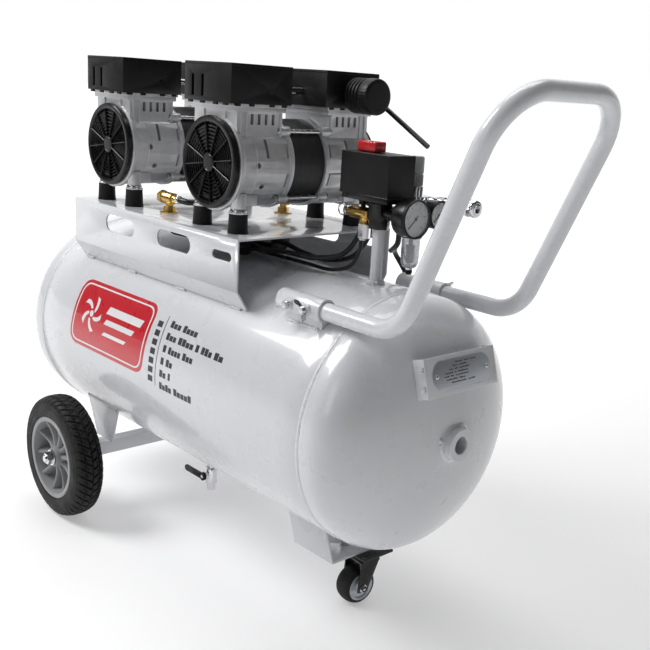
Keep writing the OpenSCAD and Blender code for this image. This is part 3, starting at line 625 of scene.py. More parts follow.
def bead_ring(b, M, rad, width, height, pitch, seg, tilt=0.0, jitter=0.0, cone=0.0):
    """A weld bead round M's axis: overlapping ripples, closed section."""
    prof = [(rad - 0.8, -width / 2), (rad + height * 0.35, -width / 2 + 0.2), (rad + height * 0.85, -width / 4), (rad + height, 0),
            (rad + height * 0.85, width / 4), (rad + height * 0.35, width / 2 - 0.2), (rad - 0.8, width / 2)]
    wob = [rnd.uniform(-1, 1) for _ in range(64)]

    def fn(rr, h, a, i):
        if 0 < i < 6:
            s = a * rad / pitch
            ph = (s + abs(h) * 0.35 / max(pitch, 1)) % 1.0
            k = a / (2 * math.pi) * 64
            w = wob[int(k) % 64] * (1 - k % 1) + wob[(int(k) + 1) % 64] * (k % 1)
            rr = rad + (rr - rad) * (0.70 + 0.30 * math.sin(ph * math.pi)) + jitter * w * 0.4
            h = h * (1 + 0.10 * w)
        return rr, h + cone * (rr - rad)
    b.lathe(prof, M, seg, fn=fn)


welds = Build()
for x in (TX[0] - 3.1, TX[1] + 3.1):
    bead_ring(welds, ax("+x", x, 0, TZ), TR - 0.3, 6.5, 1.3, 3.6, 720, jitter=0.2)
# standpipe, drain and saddle fillets
bead_ring(welds, ax("+z", 233, 0, TZ + TR + 1.2), 10.5, 9, 3.4, 4.5, 90, jitter=1.0)
bead_ring(welds, ax("+z", -150, 0, TZ - TR - 1), 12.0, 6, 2.6, 4, 80, jitter=0.8)
for s in (-1, 1):
    for x0_, x1_ in ((190, 256),):
        for yy, zz in ((s * 101.0, TZ + 155.0), (s * 123.4, TZ + 138.2)):
            pts = [(x, yy + 0.4 * math.sin(x * 1.3), zz + 0.3 * math.sin(x * 2.1)) for x in range(x0_, x1_ + 1, 2)]
            welds.tube(pts, [1.2 + 1.3 * abs(math.sin(i * 0.9)) ** 0.6 for i in range(len(pts))], 10)
# platform lip: short stitch welds on both sides
for s in (-1, 1):
    for xm in (-345, -205, -60, 82):
        pts = [(xm - 13 + i * 1.3, s * 131.6, 436.2 + 0.2 * math.sin(i)) for i in range(21)]
        welds.tube(pts, [1.0 + 1.5 * abs(math.sin(i * 0.75)) ** 0.5 for i in range(21)], 10)
# castor foot and axle legs, along the shell
for s in (-1, 1):
    zz = TZ - math.sqrt(TR ** 2 - 75.6 ** 2)
    pts = [(x, s * 76.2, zz - 0.5) for x in range(162, 232, 2)]
    welds.tube(pts, [1.0 + 1.2 * abs(math.sin(i * 0.8)) ** 0.5 for i in range(len(pts))], 8)
    zz = TZ - math.sqrt(TR ** 2 - 142.6 ** 2)
    pts = [(x, s * 143.0, zz - 0.5) for x in range(-338, -234, 2)]
    welds.tube(pts, [1.0 + 1.4 * abs(math.sin(i * 0.8)) ** 0.5 for i in range(len(pts))], 8)
welds.make("weld_beads", WELD, "frame", "white_paint", angle=50)

# front port: ring with a stepped, heavily welded collar
port = Build()
port.lathe([(12.05, 391), (12.05, 416), (13.0, 417), (22.2, 417), (23, 416.2), (23, 405), (24.2, 404.2), (24.2, 398), (14, 392)], ax("+x", 0, 0, TZ), 96)
wob = [rnd.uniform(-1, 1) for _ in range(18)]


def collar(rr, h, a, i):
    k = a / (2 * math.pi) * 18
    w = wob[int(k) % 18] * (1 - k % 1) + wob[(int(k) + 1) % 18] * (k % 1)
    if rr > 25:
        rr += 0.9 * w + 0.5 * abs(math.sin(a * 16))
        h += 0.35 * w
    return rr, h


port.lathe([(20, 397), (27.5, 398.5), (30, 401), (29.5, 403.5), (27, 405.3), (25.5, 406.6), (23.2, 406.9), (20, 405)], ax("+x", 0, 0, TZ), 120, fn=collar)
port.ball((403.5, -28.5, TZ + 9), 3.6, (0.8, 1, 1.2))
port.ball((403, -29, TZ + 2), 2.4)
port.make("tank_port", WHITE, "frame", "white_paint", angle=38)

# ------------------------------------------------------------------ labels laid on the shell


def on_shell(x, s, off=0.0):
    """x along the tank; s is arc length up from the tank's side on the -Y face."""
    a = s / TR
    return (x, -(TR + off) * math.cos(a), TZ + (TR + off) * math.sin(a))


def decal(name, polys, mt, off, slot, thick=0.10, step=5.0):
    """Flat outlines in (x, arc) laid over the shell as thin films."""
    me = bpy.data.meshes.new(name)
    bm = bmesh.new()
    for poly in polys:
        vs = [bm.verts.new((x, s, 0)) for x, s in poly]
        bm.faces.new(vs)
    s0 = min(v.co.y for v in bm.verts)
    s1 = max(v.co.y for v in bm.verts)
    k = s0 + step
    while k < s1:
        bmesh.ops.bisect_plane(bm, geom=list(bm.verts) + list(bm.edges) + list(bm.faces), plane_co=(0, k, 0), plane_no=(0, 1, 0))
        k += step
    ext = bmesh.ops.extrude_face_region(bm, geom=list(bm.faces))
    top = {v for v in ext["geom"] if isinstance(v, bmesh.types.BMVert)}
    for v in bm.verts:
        v.co = Vector(on_shell(v.co.x, v.co.y, off + (thick if v in top else -0.02))) * MM
    bmesh.ops.recalc_face_normals(bm, faces=bm.faces)
    bm.to_mesh(me)
    bm.free()
    return finish_mesh(name, me, mt, "frame", slot, angle=40)


def arc_of(z):
    return TR * math.asin((z - TZ) / TR)


def rounded(corners, rad, n=8):
    """Corner points joined with rounded corners."""
    out = []
    m_ = len(corners)
    for i in range(m_):
        p = Vector(corners[i])
        a = (Vector(corners[i - 1]) - p).normalized()
        b = (Vector(corners[(i + 1) % m_]) - p).normalized()
        for j in range(n + 1):
            t = j / n
            q = (p + a * rad) * (1 - t) ** 2 + 2 * p * t * (1 - t) + (p + b * rad) * t ** 2
            out.append((q.x, q.y))
    return out


sA, sB = arc_of(297), arc_of(407)
red = rounded([(-322, sA), (-84, sA), (-78, sB), (-313, sB)], 24)
decal("side_label", [red], LABEL_RED, 0.05, None)
ring_out = rounded([(-316, sA + 6), (-90, sA + 6), (-84, sB - 6), (-308, sB - 6)], 20)
ring_in = rounded([(-313.2, sA + 8.6), (-92.8, sA + 8.6), (-87, sB - 8.6), (-305, sB - 8.6)], 18)
strips = []
for i in range(len(ring_out)):
    j = (i + 1) % len(ring_out)
    strips.append([ring_out[i], ring_out[j], ring_in[j], ring_in[i]])
mark = []
mx_, ms_ = -258, (sA + sB) / 2 + 3
for i in range(5):
    a0 = 72 * i + 18
    pts = []
    for j in range(7):
        t = j / 6
        a = math.radians(a0 + 46 * t)
        pts.append((mx_ + (9 + 22 * t) * math.cos(a), ms_ + (9 + 22 * t) * math.sin(a)))
    for j in range(6, -1, -1):
        t = j / 6
        a = math.radians(a0 + 30 + 34 * t)
        pts.append((mx_ + (9 + 22 * t) * math.cos(a), ms_ + (9 + 22 * t) * math.sin(a)))
    mark.append(pts)
mark.append(arc(mx_, ms_, 5.5, 0, 342, 19))
for i, (w, h) in enumerate(((106, 13), (88, 9), (70, 6))):
    y0_ = ms_ + 16 - i * 20
    mark.append([(-214, y0_ - h / 2), (-214 + w, y0_ - h / 2), (-208 + w, y0_ + h / 2), (-208, y0_ + h / 2)])
decal("side_label_marks", strips + mark, LABEL_WHITE, 0.17, None)
ink = []


def words(x, s, lens, h, gap=5.5):
    for w in lens:
        n = max(1, round(w / 9))
        cw = w / n
        for k in range(n):
            hh = h * (1.0 if k == 0 or rnd.random() < 0.35 else 0.74)
            ink.append([(x + k * cw + 0.7, s), (x + (k + 1) * cw - 0.7, s), (x + (k + 1) * cw - 0.7, s + hh), (x + k * cw + 0.7, s + hh)])
        x += w + gap


rows = [[28, 38], [27, 40, 9, 27, 22], [9, 33, 27], [9, 18], [18, 7], [34, 48]]
for i, rw in enumerate(rows):
    words(-34, arc_of(394) - 19.5 * i - 11, rw, 11)
ink.append([(-46, arc_of(398)), (-44.6, arc_of(398)), (-44.6, arc_of(398) - 112), (-46, arc_of(398) - 112)])
s = arc_of(398) - 108
for k in range(7):
    hh = 9.5
    ink.append([(-66, s + k * 14.5), (-66 + 13, s + k * 14.5), (-66 + 13, s + k * 14.5 + hh), (-66, s + k * 14.5 + hh)])
decal("side_label_ink", ink, INK, 0.05, None)

# ------------------------------------------------------------------ frame parts kept from the CAD shape, edges rounded
for node, mt, bv in (("pump_platform", WHITE, 0.9), ("rating_bracket", WHITE, 0.5), ("standpipe", WHITE, 0.5), ("wheel_carrier", WHITE, 1.0),
                     ("front_foot", WHITE, 0.8), ("handle_sockets", WHITE, 0.7), ("housing_front_a", CAST, 0.55), ("housing_rear_a", CAST, 0.55),
                     ("housing_front_b", CAST, 0.55), ("housing_rear_b", CAST, 0.55), ("valve_plates", CAST, 0.6), ("head_covers", BLACK, 1.1),
                     ("drain_valve", CHROME, 0.5), ("drain_lever", BLACK, 0.8), ("check_valves", BRASS, 0.5), ("safety_valve", BRASS, 0.5),
                     ("manifold", ENAMEL, 0.6), ("switch_base", ENAMEL, 0.8), ("castor_plate", ENAMEL, 0.5), ("castor_fork", ENAMEL, 0.5),
                     ("outlet_coupler", CHROME, 0.5), ("regulator_body", CHROME, 0.8), ("tie_rods", STEEL, 0.3), ("run_capacitors", ENAMEL, 0.8)):
    refine(node, mt, bevel=bv)
for node, mt in (("stators", LAMINATED), ("bearings", STEEL), ("rotor_a", STEEL), ("rotor_b", STEEL), ("fans_a", GRILLE), ("fans_b", GRILLE),
                 ("pistons_a", MACHINED), ("pistons_b", MACHINED), ("transfer_tubes", CHROME)):
    me = N[node].data
    me.materials.clear()
    me.materials.append(mt)

# ------------------------------------------------------------------ push handle: one bent tube
BX, TXX, TZZ, LY, LZ = 397, 525, 767, 117.5, 468
d = Vector((TXX - BX, 0, TZZ - LZ))
up_ = d.normalized()


def fillet(c, a, b, rr, n):
    c, a, b = Vector(c), Vector(a), Vector(b)
    h = math.acos(max(-1, min(1, a.dot(b)))) / 2
    o = c + (b - a).normalized() * (rr / math.cos(h))
    st = c - a * rr * math.tan(h)
    e0 = (st - o).normalized()
    return [o + rr * (math.cos(2 * h * i / n) * e0 + math.sin(2 * h * i / n) * a) for i in range(n + 1)]


half = [Vector((183, -LY, LZ)), Vector((230, -LY, LZ)), Vector((300, -LY, LZ))]
half += fillet((BX, -LY, LZ), (1, 0, 0), up_, 62, 18)
half += [Vector((BX, -LY, LZ)) + up_ * k for k in (110, 170, 230)]
half += fillet((TXX, -LY, TZZ), up_, (0, 1, 0), 72, 22)
route = half + [Vector((p.x, -p.y, p.z)) for p in reversed(half)]
hb = Build()
hb.tube(route, 12.4, 40)
for s in (-1, 1):
    hb.tube([(181.6, s * LY, LZ), (182.4, s * LY, LZ), (184.5, s * LY, LZ)], [10.2, 12.0, 12.55], 40)
handle = hb.make("handle_tube", WHITE, "push_handle", "white_paint", angle=50)
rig.replaces(handle, "handle")
# wing bolts: stem, boss and two rounded wings
wb = Build()
for s in (-1, 1):
    for x in (206, 242):
        M = ax("+y" if s > 0 else "-y", x, s * (LY + 12.9), LZ)
        wb.lathe([(0, 0), (2.4, 0), (3, 1)] + [(3.0 if i % 2 else 2.55, 1.5 + i * 0.8) for i in range(8)] + [(3, 8.0), (5.6, 8.4), (6.2, 9.4), (5.4, 12), (4.4, 14), (0, 14.4)], M, 24)
        tilt = Matrix.Rotation(math.radians(24 if x == 206 else -52), 4, "Z")
        for k in (-1, 1):
            prof = [(k * 3.0, 8.6), (k * 9, 8.9), (k * 14, 11.5), (k * 16.6, 15.5), (k * 16.2, 19), (k * 13, 20.4), (k * 9.4, 18.6), (k * 6.4, 15), (k * 3.2, 13.6)]
            vs = []
            for t in (-1.4, 1.4):
                vs += [(M @ tilt @ Vector((px, t * (0.75 if abs(px) > 12 else 1), pz * 0.98)))[:] for px, pz in prof]
            n = len(prof)
            wb.add(vs, [list(range(n)), list(range(n, 2 * n))[::-1]] + [[i, (i + 1) % n, n + (i + 1) % n, n + i] for i in range(n)])
wing = wb.make("wing_bolt_set", STEEL, "frame", "steel", bevel=0.5)
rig.replaces(wing, "wing_bolts")
sw = Build()
for s in (-1, 1):
    for x in (206, 242):
        M = ax("+y" if s > 0 else "-y", x, s * (LY + 15.2), LZ)
        sw.lathe([(3.4, 0), (8.6, 0), (8.2, 1.4), (7.3, 2.8), (7, 4.4), (6.2, 4.9), (3.4, 4.9)], M, 32)
        wv = [rnd.uniform(-.4, .4) for _ in range(12)]
    for x, k in ((176.5, -1), (263.5, 1)):
        M = ax("+x", x, s * LY, LZ)
        sw.lathe([(13.0, -0.6), (15.4, -0.8), (16.3, -0.3), (16.3, 0.5), (15.6, 0.9), (13.0, 0.7)], M, 48)
sw.make("socket_trim", WHITE, "frame", "white_paint", angle=40)

# ------------------------------------------------------------------ fixed wheels
AX_, WR, WY = -277, 106, 222


def tyre_mesh(name, s, body, node):
    """Tyre with chevron blocks cut in its tread."""
    M = ax("+y", AX_, s * WY, WR)
    prof = [(71, -23), (72.5, -24.2), (76, -24.9), (80, -25), (85, -24.7), (87, -24.9), (88.5, -24.5), (94, -23.6), (99, -21.5), (102, -19)]
    crown = [(-19 + 38 * i / 26) for i in range(27)]
    full = list(prof) + [(102 + 4.0 * (1 - (abs(h) / 19) ** 2.6) * 0.985, h) for h in crown[1:-1]] + [(a, -b) for a, b in reversed(prof)]
    full += [(71, 12), (71, -12)]

    def fn(rr, h, a, i):
        if rr > 98.5:
            deep = 0.0
            ah = abs(h)
            ph = (a / (2 * math.pi) * 46 + (0.5 if h > 0 else 0) + ah * 0.052) % 1.0
            edge = min(ph, 1 - ph)
            if ah > 2.6 and edge < 0.13:
                deep = 2.9 * min(1, (0.13 - edge) / 0.05)
            ph2 = (a / (2 * math.pi) * 46 + 0.5 + (0.5 if h > 0 else 0) + ah * 0.052) % 1.0
            if 6 < ah < 17 and min(ph2, 1 - ph2) < 0.05:
                deep = max(deep, 1.3)
            if ah < 1.3 or 10.6 < ah < 12.0:
                deep = max(deep, 2.4)
            rr = min(rr, 105.9) - deep
        return rr, h
    b = Build().lathe(full, M, 552, fn=fn)
    # moulded ribs round each side wall
    for k in (-1, 1):
        for rr in (84.5, 92.5):
            hh = k * (25.0 if rr < 90 else 24.1)
            b.lathe([(rr - 0.9, hh - k * 0.8), (rr - 0.35, hh + k * 0.1), (rr + 0.35, hh + k * 0.1), (rr + 0.9, hh - k * 0.8)], M, 96)
    ob = b.make(name, TYRE, body, "tyre", angle=34)
    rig.replaces(ob, node)


def rim_mesh(name, s, body, node):
    M = ax("+y" if s > 0 else "-y", AX_, s * WY, WR)
    b = Build()
    b.lathe([(70.9, 24.0), (70.2, 24.9), (66.5, 25.0), (63.6, 24.2), (62.8, 21), (62.2, 6), (62.0, -4), (61.4, -20), (62.6, -23.6), (65, -24.6), (70.0, -24.6), (70.9, -23.6)], M, 128)
    # dished web that the spokes stand on
    b.lathe([(16, -6), (16, -1.5), (40, 0.5), (62.6, -4), (62.6, -8), (40, -4.4)], M, 96)
    b.lathe([(6.05, -21.4), (14.5, -21.4), (16, -20), (17.2, -2), (18.6, 6), (17.4, 17.5), (16.0, 20.6), (12.0, 21.4), (6.05, 21.4)], M, 64)
    for i in range(10):
        a = math.radians(36 * i + 9)
        Mi = M @ Matrix.Rotation(a, 4, "Z")
        n = 9
        vs = []
        for j in range(n):
            t = j / (n - 1)
            xx = 13 + 50.5 * t
            w = 4.3 + 1.9 * (2 * t - 1) ** 2 + 0.8 * t
            top = 15.5 - 9.0 * math.sin(t * math.pi) * 0.55 + 4.0 * t
            sec = [(-w, -4.2), (-w * 0.86, top * 0.55), (-w * 0.5, top * 0.9), (0, top), (w * 0.5, top * 0.9), (w * 0.86, top * 0.55), (w, -4.2)]
            vs += [(Mi @ Vector((xx, yy, zz)))[:] for yy, zz in sec]
        k = 7
        fs = [[i0 * k + q, (i0 + 1) * k + q, (i0 + 1) * k + (q + 1) % k, i0 * k + (q + 1) % k] for i0 in range(n - 1) for q in range(k)]
        fs += [list(range(k))[::-1], [(n - 1) * k + q for q in range(k)]]
        b.add(vs, fs)
        if i % 2 == 0:
            p = M @ Matrix.Rotation(a + math.radians(18), 4, "Z") @ Matrix.Translation((49, 0, -1.6))
            b.lathe([(4.2, 0), (5.4, 0.6), (6.2, 0.1), (6.2, -2), (4.2, -2)], p, 24)
    ob = b.make(name, GREY, body, "grey_rim", angle=36)
    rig.replaces(ob, node)


tyre_mesh("tyre_left_tread", -1, "wheel_left", "tyre_left")
tyre_mesh("tyre_right_tread", 1, "wheel_right", "tyre_right")
rim_mesh("rim_left_spoked", -1, "wheel_left", "rim_left")
rim_mesh("rim_right_spoked", 1, "wheel_right", "rim_right")
ab = Build()
for s in (-1, 1):
    q = "+y" if s > 0 else "-y"
    ab.lathe([(0, 0), (5.95, 0), (5.95, 72.6), (5.2, 74.2), (0, 74.2)], ax(q, AX_, s * 183.6, WR), 32)
    ab.hexagon(ax(q, AX_, s * 173.2, WR), 18, 7.2)
    ab.lathe([(6.1, 0), (13.4, 0), (14, 0.5), (14, 1.9), (13.4, 2.4), (6.1, 2.4)], ax(q, AX_, s * 243.8, WR), 48)
    ab.hexagon(ax(q, AX_, s * 246.3, WR), 19, 8.6, 1.4)
    ab.lathe([(4, 8.3), (7.4, 8.3), (6.8, 9.2), (6.2, 9.2), (4, 9.0)], ax(q, AX_, s * 246.3, WR), 32)
ab = ab.make("axle_bolt_set", CHROME, "frame", "steel", angle=30)
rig.replaces(ab, "axle_bolts")

# ------------------------------------------------------------------ castor wheel, grey disc and chrome axle nuts
SWV = Matrix.Translation((252, 0, 0)) @ Matrix.Rotation(math.radians(-95), 4, "Z") @ Matrix.Translation((-252, 0, 0))
cw = Build()
M = SWV @ ax("+y", 267, 0, 29)
cw.lathe([(9, -12)] + [(21.2, -12.2), (21.6, -14.6), (23, -15)] + [(23 + 5.95 * math.sin(math.radians(a)), -15 * math.cos(math.radians(a))) for a in range(15, 166, 10)] + [(23, 15), (21.6, 14.6), (21.2, 12.2), (9, 12)], M, 72)
cw = cw.make("castor_tyre", TYRE, "castor_roller", "tyre", angle=34)
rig.replaces(cw, "castor_wheel")
cg = Build()
for k in (-1, 1):
    cg.lathe([(3.1, k * 15.9), (8.4, k * 15.9), (9.2, k * 14.9), (9.6, k * 12.6), (16.5, k * 12.8), (18.5, k * 14.4), (21.4, k * 14.8), (21.9, k * 13.4), (21.4, k * 12.1), (3.1, k * 12.1)], M, 64)
cg.make("castor_disc", PLATE, "castor_roller", "grey_rim", angle=34)
cn = Build()
for k in ("+y", "-y"):
    s = 1 if k == "+y" else -1
    cn.lathe([(3, 0), (6.2, 0), (6.2, 0.9), (3, 0.9)], SWV @ ax(k, 267, s * 19.55, 29), 24)
    cn.hexagon(SWV @ ax(k, 267, s * 20.3, 29), 9.0, 3.2, 0.7)
    cn.ball((SWV @ Vector((267, s * 22.9, 29)))[:], 2.4, (0.6, 1, 1))
cn.make("castor_axle_nuts", CHROME, "castor_swivel", "steel", angle=30)
fb = Build()
for j in (-1, 1):
    fb.lathe([(3, 0), (7.4, 0), (7.4, 0.9), (3, 0.9)], ax("+z", 230, j * 22, 87.05), 28)
    fb.hexagon(ax("+z", 230, j * 22, 87.9), 10, 5.2, 0.9)
    fb.lathe([(2.9, 0), (2.9, 3.4), (2.4, 4.0), (0, 4.0)], ax("+z", 230, j * 22, 93.0), 20)
fb.make("foot_nuts", STEEL, "frame", "steel", angle=30)

# ------------------------------------------------------------------ pump units
UX, MZ = {"a": -276.5, "b": 12.5}, 637.5
gr, fe, fw, fl_, sc, rb = Build(), Build(), Build(), Build(), Build(), Build()
for k, ux in UX.items():
    for s in (-1, 1):
        q = "+y" if s > 0 else "-y"
        M = ax(q, ux, 0, MZ)
        # rim of the grille, stepped, with a dished hub
        gr.lathe([(55.5, 130.0), (56, 133.6), (57.6, 136.6), (60.5, 137.9), (64.6, 137.4), (66.2, 135.6), (66.5, 132.0), (66.3, 128.4), (62, 128.4)], M, 96)
        gr.lathe([(0, 137.0), (6, 137.2), (10.6, 136.9), (11.4, 136.2), (12.2, 136.9), (13.4, 136.4), (13.9, 134.8), (13.6, 131.4), (0, 131.4)], M, 48)
        for i in range(12):
            Mi = M @ Matrix.Rotation(math.radians(30 * i + 8), 4, "Z")
            vs = []
            for j in range(6):
                t = j / 5
                xx, w, top = 12.8 + 44.0 * t, 0.62 + 0.45 * t, 136.5 + 0.9 * t
                vs += [(Mi @ Vector((xx, yy, zz)))[:] for yy, zz in ((-w, 131.6), (w, 131.6), (w * 0.8, top), (0, top + 0.5), (-w * 0.8, top))]
            fs = [[a * 5 + b, (a + 1) * 5 + b, (a + 1) * 5 + (b + 1) % 5, a * 5 + (b + 1) % 5] for a in range(5) for b in range(5)]
            gr.add(vs, fs + [[4, 3, 2, 1, 0], [25, 26, 27, 28, 29]])
            # curved louvres between this spoke and the next, leaning inwards
            for n_, rr in enumerate((19.5, 25, 30.5, 36, 41.5, 47, 52)):
                vs = []
                cnt = 7
                for j in range(cnt):
                    a = math.radians(30 * j / (cnt - 1))
                    lean = 2.2
                    for dr, zz in ((-0.55, 135.2), (0.55, 135.6), (lean + 0.5, 131.9), (lean - 0.5, 131.6)):
                        rad_ = rr + dr
                        vs.append((Mi @ Vector((rad_ * math.cos(a), rad_ * math.sin(a), zz)))[:])
                fs = [[a * 4 + b, (a + 1) * 4 + b, (a + 1) * 4 + (b + 1) % 4, a * 4 + (b + 1) % 4] for a in range(cnt - 1) for b in range(4)]
                gr.add(vs, fs + [[3, 2, 1, 0], [24, 25, 26, 27]])
        for sx in (-1, 1):
            fx, fy = ux + sx * 45, s * 113
            fe.lathe([(0, 540.1), (15.0, 540.1), (15.2, 541.5), (14.7, 543), (14.2, 552), (13.8, 562), (13.7, 565.6), (14.0, 566.8), (13.5, 568), (0, 568)], ax("+z", fx, fy, 0), 40)
            fw.lathe([(3, 568.0), (13.6, 568.0), (14.1, 568.6), (14.1, 570.0), (13.4, 570.6), (12.4, 570.8), (12.2, 574.0), (11.4, 575.2), (10.6, 575.4), (3, 575.4)], ax("+z", fx, fy, 0), 40)
            # cast ribs on the crankcase block, and on its outer face
            for y in (-119.5, -109.5, -48.6):
                rb.box(ux + sx * 51.6 - 0.2, ux + sx * 51.6 + sx * 2.4 + 0.2 if sx > 0 else ux + sx * 51.6 + 0.2, *sorted((s * -y - 1.1, s * -y + 1.1)), 677.5, 711.6) if sx > 0 else \
                    rb.box(ux - 54.2, ux - 51.4, *sorted((s * -y - 1.1, s * -y + 1.1)), 677.5, 711.6)
            rb.box(ux + sx * 26 - 1.1, ux + sx * 26 + 1.1, *sorted((s * 125.6, s * 128.2)), 699.5, 711.6)
            # flange lugs that stand up beside the cover's tabs
            for y in (-121, -86, -52):
                fl_.box(*sorted((ux + sx * 49, ux + sx * 56.2)), *sorted((s * -y - 5.5, s * -y + 5.5)), 718.6, 725.4, bev=0.9)
            for a in (38, -4, -46):
                pass
        for a in (-7, 128, 232):
            ca, sa = math.cos(math.radians(a)), math.sin(math.radians(a))
            sc.lathe([(0, 0), (2.7, 0), (2.7, 1.3), (1.9, 2.2), (0, 2.4)], M @ Matrix.Translation((67.4 * ca * 0.985, 67.4 * sa * 0.985, 124.4)) @ Matrix.Rotation(math.radians(90), 4, Vector((-sa, ca, 0))), 20)
        # parting line of the casting and its two machined lands
        fl_.tube([Vector((ux + 65.9 * math.cos(math.radians(t)), s * 97.6, MZ + 65.9 * math.sin(math.radians(t)))) for t in range(145, 396, 5)], 0.75, 8)
        fl_.lathe([(68.0, 119.6), (69.0, 120.4), (69.7, 121.4), (69.7, 127.2), (69.0, 128.0), (66.9, 128.2), (66.9, 119.6)], M, 128)
gr = gr.make("fan_grille_set", GRILLE, "frame", "black_grille", angle=36)
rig.replaces(gr, "fan_grilles")
fe = fe.make("rubber_foot_set", RUBBER, "frame", "hose_rubber", angle=36)
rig.replaces(fe, "rubber_feet")
fw.make("foot_bosses", MACHINED, "frame", "cast_aluminium", angle=36)
fl_.make("flange_lands", CAST, "frame", "cast_aluminium", angle=36)
rb.make("crankcase_ribs", CAST, "frame", "cast_aluminium", bevel=0.5)
sc.make("ring_screws", STEEL, "frame", "steel", angle=36)
bolts = Build()
holes = Build()
for ux in UX.values():
    for s in (-1, 1):
        for sx in (-1, 1):
            for kz in (-1, 1):
                M = ax("+y" if s > 0 else "-y", ux + sx * 48.8, s * 45.9, MZ + kz * 48.8)
                bolts.lathe([(2.8, 0), (6.6, 0), (6.9, 0.5), (6.9, 1.0), (6.4, 1.4), (2.8, 1.4)], M, 28)
                bolts.hexagon(M @ Matrix.Translation((0, 0, 1.3)), 9.6, 4.8, 0.8)
                bolts.lathe([(3.35, -45.9), (3.35, -15.3), (2.9, -14.7), (0, -14.7), (0, -45.9)], M, 24)
        # cover bolt seen through its keyhole
        holes.lathe([(0, 0.0), (4.4, 0.0), (4.8, 0.5), (4.8, 5.4), (0, 5.4)], ax("+x", ux + 51.4, s * 70, MZ + 104), 24)
bolts.make("unit_bolts", STEEL, "frame", "steel", angle=30)
holes.make("cover_screws", GRILLE, "frame", "black_cover", angle=36)
trim = Build()
for ux in UX.values():
    for s in (-1, 1):
        y0_, y1_ = sorted((s * 33, s * 141))
        # lid line of the head cover and its tabs over the flange
        trim.box(ux - 57.25, ux + 57.25, y0_ - 0.25, y1_ + 0.25, 773.0, 774.2)
        for sx in (-1, 1):
            for yy in (46, 68, 104, 128):
                trim.box(*sorted((ux + sx * 56.4, ux + sx * 53.2)), s * yy - 5 if s > 0 else -yy - 5, s * yy + 5 if s > 0 else -yy + 5, 719.6, 724.5, bev=0.5)
        for xx in (-44, -14, 18, 42):
            trim.box(ux + xx - 5, ux + xx + 5, *sorted((s * 137.4, s * 140.6)), 719.6, 724.5, bev=0.5)
trim.make("cover_trim", BLACK, "frame", "black_cover", angle=36)
af = Build()
for ux in UX.values():
    M = ax("+x", ux, 86, MZ + 105.5)
    prof = [(0, 57.1), (12, 57.1), (12, 62), (13.5, 64), (20, 65.6)]
    for i in range(4):
        x = 66 + 7.0 * i
        prof += [(24.6, x), (26.2, x + 1.0), (26.6, x + 2.6), (26.2, x + 4.4), (24.6, x + 5.4), (23.6, x + 6.0)]
    prof += [(24.2, 94.6), (26.6, 95.4), (27, 96.6), (27, 111.4), (26.2, 113.6), (24.4, 114.8), (21, 115), (0, 115)]

    def knurl(rr, h, a, i):
        if 97 < h < 110 and rr > 26.9:
            rr += 0.0
        if 95 < h < 112 and rr > 26.5:
            rr -= 0.35 * (0.5 + 0.5 * math.cos(a * 36)) ** 4
        return rr, h
    af.lathe(prof, M, 144, fn=knurl)
af = af.make("air_filter_set", BLACK, "frame", "black_cover", angle=40)
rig.replaces(af, "air_filters")

# ------------------------------------------------------------------ hoses, leads and breather tube
HOSES = [
    ([(-129.8, -95, 563), (-116, -95, 563), (-102, -88, 562), (-96, -60, 565), (-98, -20, 574), (-103, 10, 594), (-112, 34, 626), (-128, 50, 665), (-150, 52, 700), (-178, 50, 732), (-200, 50, 749), (-218.8, 50, 750)], 4.9),
    ([(-68.8, 91, 563), (-62, 91, 563), (-57, 89, 568), (-60, 86, 582), (-66, 84, 605), (-68, 82, 640), (-67, 80, 680), (-65, 83, 715), (-61, 85.6, 738), (-53.4, 86, 749.2), (-45.3, 86, 750)], 4.9),
    ([(184, 14, 593.8), (184, 14, 570), (180, 10, 545), (160, 0, 518), (120, -20, 508), (80, -36, 510), (40, -45, 508), (6.2, -45, 508)], 3.9),
    ([(200, 14, 593.8), (200, 15, 572), (194, 16, 545), (168, 14, 515), (120, 10, 502), (70, 6, 504), (36, 0, 512), (6.2, 0, 512)], 3.9),
    ([(203, -4, 548.8), (202, -5, 530), (188, -9, 506), (150, -12, 494.8), (104, -14, 495), (60, -20, 496.5), (10, -23, 497), (-60, -25, 498), (-104, -32, 500), (-130, -62, 502), (-149, -88, 507), (-152, -95, 516.8)], 2.9),
]
hz = Build()
for pts, rr in HOSES:
    hz.tube(catmull(pts, 10), rr, 18)
hz.tube([(72.4 + 130.6 * i / 10, 120, 747 - 69.5 * i / 10) for i in range(11)], 3.9, 20)
hz = hz.make("hose_set", HOSE, "frame", "hose_rubber", angle=50)
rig.replaces(hz, "hoses_and_leads")
fr = Build()
for (x, y, z), q in (((-129.6, -95, 563), "+x"), ((-68.6, 91, 563), "+x"), ((-219.0, 50, 750), "+x"), ((-45.0, 86, 750), "-x")):
    fr.lathe([(4.9, 0), (6.4, 0), (6.7, 0.6), (6.0, 1.4), (6.7, 2.2), (6.0, 3.2), (6.7, 4.0), (6.4, 7.4), (5.2, 8.0), (4.9, 8.0)], ax(q, x, y, z), 32)
fr.make("hose_ferrules", CHROME, "frame", "steel", angle=36)

